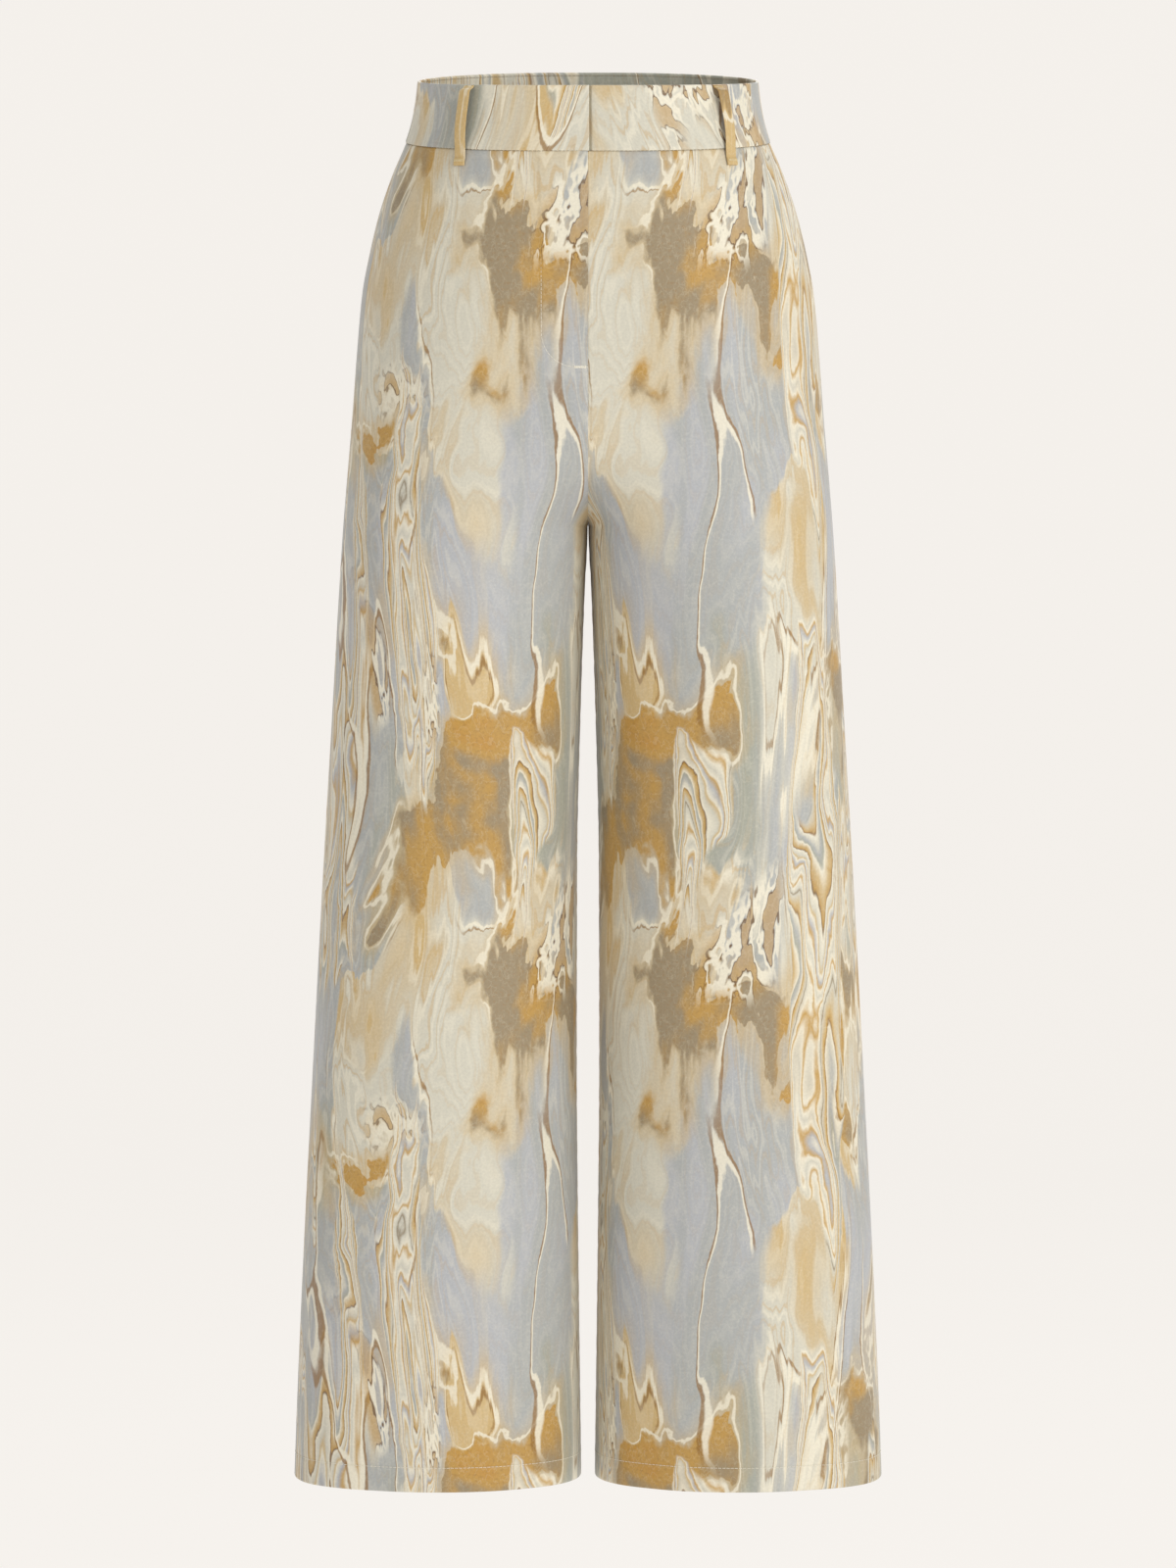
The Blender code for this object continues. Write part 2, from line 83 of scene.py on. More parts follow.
CLOTH = 0.0008
SEAM_GAP = 0.0003          # between two solids that are sewn together
SEAM_CLEAR = 0.00002       # how far a panel's edge stays off the seam's line
SEAM_ROLL = 0.0010
SEAM_RUN = 0.0022
WAIST_ROLL = 0.6           # share of that roll at the waistband's seam
WAIST_RADIUS = 0.1
PUCKER = 0.00012
PUCKER_RUN = 0.006
PUCKER_WAVES = ((0.0021, 1.0), (0.0033, 2.1))      # length over 2 pi, and share of the phase

# steps from row to row and from column to column, and the first places in from an edge
ROW_STEP = 0.0050
HIP_ROW_STEP = 0.0035
FLY_ROW_STEP = 0.0014
COLUMN_STEP = 0.0048
FROM_EDGE = np.array((0.0, 0.0004, 0.0009, 0.0016, 0.0026, 0.0040))
FORK_ROWS = 35
# the lowest rows, as heights above the hem's fold: closer at the stitching and the turned-up edge
HEM_ROWS = np.array((
    0.0230, 0.0222, 0.0214, 0.0208, 0.0204, 0.0200, 0.0196, 0.0191, 0.0186, 0.0183,
    0.0180, 0.0177, 0.0174, 0.0169, 0.0162, 0.0150, 0.0125, 0.0098, 0.0070, 0.0044,
    0.0026, 0.0014, 0.0007, 0.0003, 0.0,
))
RUN_SAMPLES = 321
SHARP_EDGE = math.radians(60)

HEM_DEPTH = 0.0200
HEM_STITCH = 0.0180
HEM_LAYER = 0.0012
HEM_LAYER_RUN = 0.0006
FOLD_ROUND = 0.0005
FOLD_RUN = 0.0012
STITCH_DENT = 0.00028
STITCH_RUN = 0.0013

FLY_WIDTH = 0.0338
FLY_TOP = -0.0570
FLY_TURN = -0.187
FLY_FOOT = -0.2121
FLY_STRAIGHT = 0.0090
FLY_RAISE = 0.00035
FLY_RAISE_RUN = 0.002
FLY_END = 0.0012           # how far from the centre its stitching ends
FLY_POINTS = (80, 24, 6)   # on its straight, round its turn and along its foot
FLY_COLUMNS = (0.0041, 0.0520, 0.0013)
LAP_RUN = 0.007
LAP_FADE = 0.006
# how far the lap lifts the right front's edge and sinks the left one's, and how much of its roll
# each edge keeps there
LAP_EDGES = {-1: (0.0004, 0.15), 1: (-0.0003, 0.05)}


def ring_slopes():
    """Each ring size's slope at each ring, chosen so that no size overshoots its table."""
    steps = np.diff(RINGS, axis=0)
    slopes = steps / steps[:, :1]
    product, total = slopes[:-1] * slopes[1:], slopes[:-1] + slopes[1:]
    inside = np.where(product > 0, 2 * product / np.where(product > 0, total, 1.0), 0.0)
    return np.concatenate((slopes[:1], inside, slopes[-1:]))


RING_SLOPES = ring_slopes()


def ring_sizes(z):
    """The ring table's columns at any heights, on smooth curves through its rows."""
    z = np.clip(z, RINGS[0, 0], RINGS[-1, 0])
    i = np.clip(np.searchsorted(RINGS[:, 0], z) - 1, 0, len(RINGS) - 2)
    span = RINGS[i + 1, 0] - RINGS[i, 0]
    t = ((z - RINGS[i, 0]) / span)[..., None]
    span = span[..., None]
    return (
        (2 * t**3 - 3 * t**2 + 1) * RINGS[i]
        + (t**3 - 2 * t**2 + t) * span * RING_SLOPES[i]
        + (3 * t**2 - 2 * t**3) * RINGS[i + 1]
        + (t**3 - t**2) * span * RING_SLOPES[i + 1]
    )


def eased(share):
    """0 below 0, 1 above 1, and a soft step between them."""
    share = np.clip(share, 0.0, 1.0)
    return share * share * (3 - 2 * share)


def signed_power(value, power):
    return np.sign(value) * np.abs(value) ** power


Ring = namedtuple("Ring", "middle outward inward front back")


def ring_at(z):
    _, half_width, half_gap, apart, front, back = np.moveaxis(ring_sizes(np.asarray(z)), -1, 0)
    middle = apart * (half_width + half_gap) / 2
    down = np.clip((FORK - z) / (FORK - CROTCH), 0, 1)
    stands_out = (1 - down**FORK_START_EASE) ** FORK_END_EASE
    closed = np.maximum(CENTRE_FLAT, (1 - stands_out**SQUARE) ** (1 / SQUARE))
    return Ring(middle, half_width - middle, (middle - half_gap) / closed, front, back)


def form_gauge(x, y, ring):
    """Below 0 inside the body form's ring, and 0 on it."""
    across = np.where(x > ring.middle, ring.outward, ring.inward)
    depth = np.where(y < 0, ring.front, ring.back)
    return (np.abs(x - ring.middle) / across) ** SQUARE + (np.abs(y) / depth) ** SQUARE - 1


def form_point(z, angle, side, offset):
    """Points of the form at these heights and angles, moved out by the offset."""
    z, angle, side, offset = np.broadcast_arrays(z, angle, side, offset)
    ring = ring_at(z)
    across = np.where(np.cos(angle) > 0, ring.outward, ring.inward)
    depth = np.where(angle < 0, ring.front, ring.back)
    x = ring.middle + across * signed_power(np.cos(angle), 2 / SQUARE)
    y = depth * signed_power(np.sin(angle), 2 / SQUARE)
    step = 2e-5
    out = np.stack((
        form_gauge(x + step, y, ring) - form_gauge(x - step, y, ring),
        form_gauge(x, y + step, ring) - form_gauge(x, y - step, ring),
        form_gauge(x, y, ring_at(z + step)) - form_gauge(x, y, ring_at(z - step)),
    ), axis=-1)
    out /= np.linalg.norm(out, axis=-1, keepdims=True)
    points = np.stack((x, y, z), axis=-1) + out * offset[..., None]
    points[..., 0] *= side
    return points


def angle_at(x, z, face):
    """The angle of the place this far from the centre, on the front (-1) or the back (1)."""
    ring = ring_at(z)
    across = np.where(x > ring.middle, ring.outward, ring.inward)
    reach = np.clip((x - ring.middle) / across, -1, 1)
    return face * np.arccos(signed_power(reach, SQUARE / 2))


def tilted(heights, angle):
    """A tilted edge's height at this angle, from its heights at the side, front and back."""
    share = signed_power(np.sin(angle), 2 / SQUARE)
    rise = (heights["back"] - heights["front"]) / 2
    bow = (heights["back"] + heights["front"]) / 2 - heights["side"]
    return heights["side"] + rise * share + bow * share**2


def panel_height(row_z, angle):
    top = WAIST_SEAM["side"]
    fade = np.clip((row_z - TILT_END) / (top - TILT_END), 0, 1)
    return row_z + (tilted(WAIST_SEAM, angle) - top) * fade


# part of a ring, from near the centre to the side seam: angles, and the length run up to each
Run = namedtuple("Run", "angles lengths")


def ring_run(z, face, start_x=0.0):
    start = face * math.pi if z <= CROTCH else float(angle_at(start_x, z, face))
    angles = np.linspace(start, SIDE_SEAM_ANGLE, RUN_SAMPLES)
    steps = np.linalg.norm(np.diff(form_point(z, angles, 1, 0.0), axis=0), axis=1)
    return Run(angles, np.concatenate(([0.0], np.cumsum(steps))))


# A soft trough (below 0) or swell of the cloth: the wearer's side (-1 is the right), the angle in
# degrees at its top and its foot, the heights of both, its half width, and how far it stands out.
FOLD_COLUMNS = ("side", "top_angle", "foot_angle", "top", "foot", "half_width", "stands_out")
FOLDS = (
    (-1, -118, -104, -0.300, -0.560, 0.016, -0.0018),
    (1, -122, -108, -0.310, -0.600, 0.015, -0.0020),
    (-1, -96, -88, -0.270, -0.980, 0.030, 0.0020),
    (1, -94, -90, -0.280, -0.960, 0.032, 0.0018),
    (-1, -58, -66, -0.420, -1.034, 0.026, -0.0020),
    (1, -60, -64, -0.380, -1.034, 0.024, -0.0022),
    (-1, -132, -126, -0.560, -1.034, 0.022, -0.0014),
    (1, -130, -128, -0.520, -1.034, 0.022, -0.0016),
    (-1, -34, -30, -0.520, -1.034, 0.020, 0.0012),
    (1, -36, -30, -0.500, -1.034, 0.022, 0.0012),
    (-1, 116, 104, -0.290, -0.560, 0.018, -0.0026),
    (1, 118, 106, -0.300, -0.580, 0.018, -0.0026),
    (-1, 92, 88, -0.330, -0.980, 0.030, 0.0020),
    (1, 94, 90, -0.340, -0.990, 0.030, 0.0020),
    (-1, 62, 66, -0.360, -1.034, 0.026, -0.0024),
    (1, 60, 64, -0.380, -1.034, 0.026, -0.0022),
    (-1, 134, 128, -0.540, -1.034, 0.022, -0.0016),
    (1, 132, 126, -0.560, -1.034, 0.022, -0.0016),
    (-1, 48, 62, -0.235, -0.345, 0.014, -0.0014),
    (1, 50, 64, -0.240, -0.350, 0.014, -0.0014),
)
LEG_RADIUS = 0.095


def drape(z, angle, side):
    """How far the hanging cloth stands off its form, from the table of folds."""
    total = np.zeros(np.broadcast(z, angle).shape)
    for row in FOLDS:
        fold = dict(zip(FOLD_COLUMNS, row))
        if fold["side"] != side:
            continue
        down = np.clip((fold["top"] - z) / (fold["top"] - fold["foot"]), 0, 1)
        turn = math.pi / 2 if fold["foot"] <= HEM else math.pi
        centre = np.radians(fold["top_angle"] + (fold["foot_angle"] - fold["top_angle"]) * down)
        across = (angle - centre) * LEG_RADIUS / fold["half_width"]
        total += fold["stands_out"] * np.abs(np.sin(down * turn)) ** 1.5 * np.exp(-across**2)
    return total


def seam_edge(distance, along, phase):
    """A sewn edge rolls in over its last millimetres, and puckers a little beside the thread."""
    roll = -SEAM_ROLL * np.clip(1 - distance / SEAM_RUN, 0, 1) ** 2
    wave = sum(np.sin(along / length + turn * phase) for length, turn in PUCKER_WAVES)
    return roll + PUCKER * wave * np.exp(-distance / PUCKER_RUN)


def fly_line():
    """The fly's curved stitching, as distances from the centre and heights."""
    on_straight, on_turn, on_foot = FLY_POINTS
    turn = np.linspace(0, math.pi / 2, on_turn)
    x = np.concatenate((
        np.full(on_straight, FLY_WIDTH),
        FLY_STRAIGHT + (FLY_WIDTH - FLY_STRAIGHT) * np.cos(turn),
        np.linspace(FLY_STRAIGHT - 0.001, FLY_END, on_foot),
    ))
    z = np.concatenate((
        np.linspace(FLY_TOP, FLY_TURN + 0.0005, on_straight),
        FLY_TURN + (FLY_FOOT - FLY_TURN) * np.sin(turn),
        np.full(on_foot, FLY_FOOT),
    ))
    return x, z


def fly_relief(x, z):
    """The right front stands a little proud over the fly's facing, and dips along the thread."""
    line_x, line_z = fly_line()
    away = np.hypot(x[:, None] - line_x, z[:, None] - line_z).min(axis=1)
    turn_x = np.clip((x - FLY_STRAIGHT) / (FLY_WIDTH - FLY_STRAIGHT), 0, 1)
    turn_z = np.clip((FLY_TURN - z) / (FLY_TURN - FLY_FOOT), 0, 2)
    inside = turn_x**2 + turn_z**2 < 1
    return np.where(inside, FLY_RAISE * eased(away / FLY_RAISE_RUN), 0.0) - STITCH_DENT * np.exp(
        -((away / STITCH_RUN) ** 2)
    )


DART_SHARE = 0.345         # where a back's dart lies, as a share of the panel's width
DART_END = -0.138
DART_DEPTH = 0.0011
DART_RUN = 0.0011
DART_INTAKE = 0.014
DART_COLUMNS = (0.006, 0.0009)
CROTCH_FADE_ABOVE = 0.034
CROTCH_FADE_BELOW = 0.030


def dart_fade(z):
    return np.clip((z - DART_END) / (WAIST_SEAM["back"] - DART_END), 0, 1)


def at_crotch(row_z):
    """1 where both sides' edges meet flat under the crotch, and 0 well above and below it."""
    if row_z > CROTCH:
        return eased((FORK - row_z) / CROTCH_FADE_ABOVE)
    return eased(1 - (CROTCH - row_z) / CROTCH_FADE_BELOW)


def cloth_offset(row_z, z, angle, from_centre, from_side, side, face):
    """How far a panel's outer face lies from the form, with its seams, folds and stitching."""
    centre_edge = seam_edge(from_centre, z, 1.0) * (1 - at_crotch(row_z))
    relief = 0.0
    if face < 0:
        lapped = eased((z - FLY_FOOT) / LAP_FADE)
        near = np.exp(-((from_centre / LAP_RUN) ** 2))
        lift, kept = LAP_EDGES[side]
        centre_edge = centre_edge * (1 - lapped * (1 - kept)) + lapped * lift * near
        if side < 0 and row_z > FORK:
            relief = fly_relief(from_centre, z)
    elif row_z > DART_END:
        away = from_centre - DART_SHARE * (from_centre + from_side)
        relief = -DART_DEPTH * eased(3 * dart_fade(z)) * np.exp(-np.abs(away) / DART_RUN)
    below_band = np.full_like(z, WAIST_SEAM["side"] - row_z)
    waist_edge = WAIST_ROLL * seam_edge(below_band, angle * WAIST_RADIUS, 3.0)
    above_fold = row_z - HEM
    dent = STITCH_DENT * math.exp(-(((above_fold - HEM_STITCH) / STITCH_RUN) ** 2))
    dent += FOLD_ROUND * max(0.0, 1 - above_fold / FOLD_RUN) ** 2
    side_edge = seam_edge(from_side, z, 2.0 + face)
    return centre_edge + side_edge + waist_edge + relief - dent + drape(z, angle, side)


def panel_rows():
    """Row heights from the waistband's seam to the hem, close together where the shape is fine."""
    top = WAIST_SEAM["side"] - SEAM_CLEAR
    share = np.linspace(0, 1, FORK_ROWS + 1)[:-1]
    return np.concatenate((
        top - FROM_EDGE,
        np.arange(top - 0.0060, FLY_TURN, -HIP_ROW_STEP),
        np.arange(FLY_TURN - 0.0010, FLY_FOOT - 0.0060, -FLY_ROW_STEP),
        np.arange(FLY_FOOT - 0.0080, FORK, -HIP_ROW_STEP),
        FORK + (CROTCH - FORK) * (1 - (1 - share) ** 2),
        np.arange(CROTCH, HEM + 0.0260, -ROW_STEP),
        HEM + HEM_ROWS,
    ))


def panel_columns(width, fine_from, fine_to, fine_step):
    """Places across a panel: close together at both edges and over one finer stretch."""
    stops = [FROM_EDGE[-1], fine_from, fine_to, width - FROM_EDGE[-1]]
    steps = [COLUMN_STEP, fine_step, COLUMN_STEP]
    places = [FROM_EDGE]
    for start, end, step in zip(stops, stops[1:], steps):
        if end > start:
            places.append(np.linspace(start, end, max(2, round((end - start) / step) + 1))[1:])
    places.append(width - FROM_EDGE[-2::-1])
    return np.concatenate(places) / width


def placed(name, data):
    """A new object of the scene."""
    made = bpy.data.objects.new(name, data)
    bpy.context.scene.collection.objects.link(made)
    return made


def cloth_shell(name, rows, materials):
    """One closed shell from rows of outer points, inner points, and places on the flat cloth in
    metres. The last material goes on the inside."""
    outer, inner, cloth_place = (np.array(part) for part in zip(*rows))
    out = np.arange(outer[..., 0].size).reshape(outer.shape[:2])
    into = out + out.size

    def quads(a, b, c, d):
        return np.stack((a, b, c, d), axis=-1).reshape(-1, 4)

    faces = [
        quads(out[:-1, :-1], out[1:, :-1], out[1:, 1:], out[:-1, 1:]),
        quads(into[:-1, :-1], into[:-1, 1:], into[1:, 1:], into[1:, :-1]),
        quads(out[:-1, 0], into[:-1, 0], into[1:, 0], out[1:, 0]),
        quads(out[:-1, -1], out[1:, -1], into[1:, -1], into[:-1, -1]),
        quads(out[0, :-1], out[0, 1:], into[0, 1:], into[0, :-1]),
        quads(out[-1, :-1], into[-1, :-1], into[-1, 1:], out[-1, 1:]),
    ]
    mesh = bpy.data.meshes.new(name)
    points = np.concatenate((outer.reshape(-1, 3), inner.reshape(-1, 3)))
    mesh.from_pydata(points.tolist(), [], np.concatenate(faces).tolist())
    kinds = np.zeros(len(mesh.polygons), np.int32)
    kinds[len(faces[0]):len(faces[0]) + len(faces[1])] = len(materials) - 1
    mesh.polygons.foreach_set("material_index", kinds)
    turned = bmesh.new()
    turned.from_mesh(mesh)
    bmesh.ops.recalc_face_normals(turned, faces=turned.faces)
    turned.to_mesh(mesh)
    turned.free()
    corners = np.empty(len(mesh.loops), np.int32)
    mesh.loops.foreach_get("vertex_index", corners)
    place = np.concatenate((cloth_place.reshape(-1, 2),) * 2)
    mesh.uv_layers.new(name="cloth").data.foreach_set("uv", place[corners].ravel())
    for material in materials:
        mesh.materials.append(material)
    mesh.shade_smooth()
    mesh.set_sharp_from_angle(angle=SHARP_EDGE)
    return placed(name, mesh)


def leg_panel(name, side, face, print_start, materials):
    """A front or a back, with its edges on the seams of its solid."""
    widest = ring_run(CROTCH, face).lengths[-1]
    if face > 0:
        dart, (reach, step) = DART_SHARE * widest, DART_COLUMNS
        columns = panel_columns(widest, dart - reach, dart + reach, step)
    elif side < 0:
        columns = panel_columns(widest, *FLY_COLUMNS)
    else:
        columns = panel_columns(widest, 0.0, 0.0, COLUMN_STEP)
    rows = []
    for row_z in panel_rows():
        run = ring_run(row_z, face)
        width = run.lengths[-1] - 2 * SEAM_CLEAR
        from_centre = width * columns
        from_side = width - from_centre
        angle = np.interp(from_centre + SEAM_CLEAR, run.lengths, run.angles)
        z = panel_height(row_z, angle)
        offset = cloth_offset(row_z, z, angle, from_centre, from_side, side, face)
        above_fold = row_z - HEM
        turned_up = eased((HEM_DEPTH - above_fold) / HEM_LAYER_RUN) * eased(above_fold / FOLD_RUN)
        thickness = CLOTH + HEM_LAYER * turned_up - FOLD_ROUND * (row_z == HEM)
        to_crease = np.interp(math.pi / 2, np.flip(face * run.angles), np.flip(run.lengths))
        across = ring_at(row_z).middle + from_centre - to_crease
        if face > 0:
            across = across + DART_INTAKE * dart_fade(z) * (from_centre > DART_SHARE * width)
        rows.append((
            form_point(z, angle, side, offset),
            form_point(z, angle, side, offset - thickness),
            np.stack((print_start[0] - face * side * across, print_start[1] + z), axis=-1),
        ))
    return cloth_shell(name, rows, materials)


def paint(code):
    """A colour of a colour card, such as "#E5E0CC", as the shader takes it."""
    parts = [int(code[i:i + 2], 16) / 255 for i in (1, 3, 5)]
    return (*[p / 12.92 if p <= 0.04045 else ((p + 0.055) / 1.055) ** 2.4 for p in parts], 1.0)


def add(tree, kind, inputs, output=0, **settings):
    """One node of a tree with its inputs set or linked. Returns the socket that it gives."""
    node = tree.nodes.new(kind)
    for name, value in settings.items():
        setattr(node, name, value)
    for key, value in inputs.items():
        if isinstance(value, bpy.types.NodeSocket):
            tree.links.new(value, node.inputs[key])
        else:
            node.inputs[key].default_value = value
    return node.outputs[output]


def number(tree, operation, a, b=0.0, c=0.0):
    return add(tree, "ShaderNodeMath", {0: a, 1: b, 2: c}, operation=operation)


def times(tree, a, b):
    return number(tree, "MULTIPLY", a, b)


def soft_step(tree, value, low, high, start=0.0, end=1.0):
    inputs = {"Value": value, "From Min": low, "From Max": high, "To Min": start, "To Max": end}
    return add(tree, "ShaderNodeMapRange", inputs, interpolation_type="SMOOTHSTEP")


def mix(tree, share, colour_a, colour_b, blend="MIX"):
    inputs = {0: share, 6: colour_a, 7: colour_b}
    return add(tree, "ShaderNodeMix", inputs, output=2, data_type="RGBA", blend_type=blend)


def cloud(tree, place, scale, detail=2.0, seed=0.0, stretch=(1.0, 1.0, 1.0), output=0):
    """A noise field at a place on the cloth. Each seed gives another part of the field."""
    inputs = {"Vector": place, "Location": (seed * 3.7, seed * 1.9, seed * 5.3), "Scale": stretch}
    moved = add(tree, "ShaderNodeMapping", inputs)
    field = {"Vector": moved, "Scale": scale, "Detail": detail, "Roughness": 0.5}
    return add(tree, "ShaderNodeTexNoise", field, output=output)


def moved_by(tree, place, scale, amount, seed, detail=1.0):
    """The place, carried off in a swirl by a noise field."""
    field = cloud(tree, place, scale, detail, seed, output=1)
    centred = add(tree, "ShaderNodeVectorMath", {0: field, 1: (0.5,) * 3}, operation="SUBTRACT")
    scaled = {0: centred, "Scale": amount * 2}
    swirl = add(tree, "ShaderNodeVectorMath", scaled, operation="SCALE")
    return add(tree, "ShaderNodeVectorMath", {0: place, 1: swirl}, operation="ADD")


def away_from(tree, field, level):
    return number(tree, "ABSOLUTE", number(tree, "SUBTRACT", field, level))


def thin_line(tree, field, level, width, where=1.0):
    """1 along the line where the field is at this level and 0 away from it, times where."""
    line = soft_step(tree, away_from(tree, field, level), width * 0.35, width, 1.0, 0.0)
    return times(tree, line, where)


def inked(tree, colour, layers):
    """The colour with layers over it: where each prints, how strongly, and in which colour."""
    for where, strength, ink in layers:
        colour = mix(tree, times(tree, where, strength), colour, ink)
    return colour


def blank_material(name):
    """A new material, its node tree, and the shader in it."""
    material = bpy.data.materials.new(name)
    material.use_nodes = True
    tree = material.node_tree
    return material, tree, tree.nodes["Principled BSDF"]


def surfaced(tree, shader, colour, height, strength, depth):
    """The shader takes the colour, and fine relief from the height."""
    bump = {"Height": height, "Strength": strength, "Distance": depth}
    tree.links.new(colour, shader.inputs["Base Color"])
    tree.links.new(add(tree, "ShaderNodeBump", bump), shader.inputs["Normal"])


PRINT_REPEAT = 0.535
PRINT_DRAWN_OUT = 2.8      # how much longer than wide its marbling runs
CREAM, PEACH, SAND = paint("#D4D0C0"), paint("#CFB37E"), paint("#C69E55")
OCHRE, GOLD, AMBER, TAUPE = paint("#916829"), paint("#BE9342"), paint("#C18A2A"), paint("#95856A")
GREY_BLUE, SAGE, LILAC = paint("#B0B2B0"), paint("#A8A99B"), paint("#B7B9BC")
BROWN_VEIN, WHITE_VEIN = paint("#6E4D22"), paint("#F0E9D4")

# the bands of a vein from one side to the other: where each starts, and its colour
VEIN_BANDS = (
    (0.000, CREAM), (0.050, WHITE_VEIN), (0.085, SAND), (0.110, WHITE_VEIN), (0.160, CREAM),
    (0.185, TAUPE), (0.205, CREAM), (0.300, PEACH), (0.330, SAND), (0.350, OCHRE),
    (0.370, WHITE_VEIN), (0.420, CREAM), (0.470, GREY_BLUE), (0.520, SAGE), (0.545, WHITE_VEIN),
    (0.610, PEACH), (0.665, GOLD), (0.682, BROWN_VEIN), (0.700, WHITE_VEIN), (0.770, CREAM),
    (0.810, PEACH), (0.830, WHITE_VEIN), (0.880, LILAC), (0.925, SAND), (0.950, WHITE_VEIN),
    (1.000, CREAM),
)


# The noise fields that the print is drawn from: where on the cloth each is read, its scale, detail
# and seed, and how much it is squeezed across and along the cloth.
Field = namedtuple("Field", "place scale detail seed across along", defaults=(1.0, 1.0))
PRINT_FIELDS = {
    "brushed": Field("swirled", 85.0, 3.0, 4.0, along=0.22),
    "wash": Field("swirled", 13.0, 3.0, 7.0),
    "cool_tone": Field("swirled", 11.0, 2.5, 8.0),
    "bleed": Field("drawn", 20.0, 1.0, 9.0),
    "pools": Field("frayed", 7.5, 2.5, 5.0),
    "edged": Field("drawn", 17.0, 1.0, 18.0),
    "speckle": Field("frayed", 130.0, 3.0, 10.0),
    "gathered": Field("frayed", 9.0, 5.0, 6.0, along=1.7),
    "settled": Field("swirled", 22.0, 2.0, 22.0, across=0.8, along=1.6),
    "grit": Field("flat", 420.0, 3.0, 19.0),
    "flow": Field("frayed", 8.5, 3.0, 11.0, across=1.45, along=0.55),
    "swell": Field("drawn", 9.0, 1.5, 12.0),
    "streak": Field("frayed", 10.0, 2.0, 20.0, across=1.5, along=0.6),
    "streaked": Field("drawn", 16.0, 1.0, 21.0),
    "busy": Field("drawn", 14.0, 1.0, 13.0),
    "fleck": Field("frayed", 100.0, 2.0, 15.0),
    "fibre": Field("flat", 150.0, 3.0, 14.0, along=0.7),
    "mottle": Field("flat", 520.0, 2.0, 16.0),
    "grain": Field("flat", 1500.0, 1.0, 17.0, along=0.6),
}


def print_places(tree):
    """The flat cloth, and the print's own places on it. They go round in a circle along the
    cloth, so that the print repeats, and are stirred more finely from each to the next."""
    flat = add(tree, "ShaderNodeUVMap", {}, uv_map="cloth")
    split = tree.nodes.new("ShaderNodeSeparateXYZ")
    tree.links.new(flat, split.inputs[0])
    across, along = split.outputs[0], split.outputs[1]
    turn = times(tree, along, 2 * math.pi / PRINT_REPEAT)
    reach = PRINT_REPEAT / PRINT_DRAWN_OUT / (2 * math.pi)
    round_y, round_z = [times(tree, number(tree, way, turn), reach) for way in ("COSINE", "SINE")]
    place = add(tree, "ShaderNodeCombineXYZ", {0: across, 1: round_y, 2: round_z})
    drawn = moved_by(tree, place, 8.0, 0.050, 1.0)
    swirled = moved_by(tree, drawn, 24.0, 0.012, 2.0, detail=2.0)
    frayed = moved_by(tree, swirled, 80.0, 0.0034, 3.0, detail=4.0)
    return {"flat": flat, "drawn": drawn, "swirled": swirled, "frayed": frayed}


def print_noise(tree):
    """The print's fields, with brush marks in the washes, and what several layers share."""
    places = print_places(tree)
    noise = SimpleNamespace(**{
        name: cloud(tree, places[f.place], f.scale, f.detail, f.seed, (f.across, f.along, f.along))
        for name, f in PRINT_FIELDS.items()
    })
    stir = number(tree, "MULTIPLY_ADD", noise.brushed, 0.20, -0.10)
    noise.wash = number(tree, "ADD", noise.wash, stir)
    noise.cool_tone = number(tree, "ADD", noise.cool_tone, stir)
    noise.pools = number(tree, "ADD", noise.pools, times(tree, stir, 0.45))
    noise.edged = soft_step(tree, noise.edged, 0.50, 0.58)
    noise.bleed_width = soft_step(tree, noise.bleed, 0.42, 0.64, 0.004, 0.040)
    return noise


def spread(tree, noise, field, level, start, end):
    """0 outside a pool of colour and 1 inside, with an edge that is crisp or bleeds."""
    inside = number(tree, "DIVIDE", number(tree, "SUBTRACT", field, level), noise.bleed_width)
    return soft_step(tree, inside, start, end)


def print_washes(tree, noise):
    """Soft warm washes with pools of cool ones, a fine edge round them, and drying lines."""
    warm = mix(tree, soft_step(tree, noise.wash, 0.47, 0.60), CREAM, PEACH)
    cool = mix(tree, soft_step(tree, noise.cool_tone, 0.36, 0.50), SAGE, GREY_BLUE)
    cool = mix(tree, soft_step(tree, noise.cool_tone, 0.53, 0.62), cool, LILAC)
    pooled = spread(tree, noise, noise.pools, 0.480, -0.5, 0.5)
    drying = number(tree, "MULTIPLY_ADD", noise.wash, 17.0, times(tree, noise.pools, 9.0))
    drying = number(tree, "FRACT", drying)
    dry_share = soft_step(tree, noise.bleed, 0.40, 0.60, 0.50, 0.16)
    dry_share = times(tree, dry_share, soft_step(tree, pooled, 0.0, 1.0, 1.0, 0.45))
    return inked(tree, mix(tree, pooled, warm, cool), (
        (thin_line(tree, noise.pools, 0.470, 0.0060, noise.edged), 0.85, WHITE_VEIN),
        (thin_line(tree, noise.pools, 0.4615, 0.0032, noise.edged), 0.80, OCHRE),
        (thin_line(tree, drying, 0.35, 0.22, dry_share), 1.0, WHITE_VEIN),
        (thin_line(tree, drying, 0.75, 0.13, dry_share), 0.8, SAND),
    ))


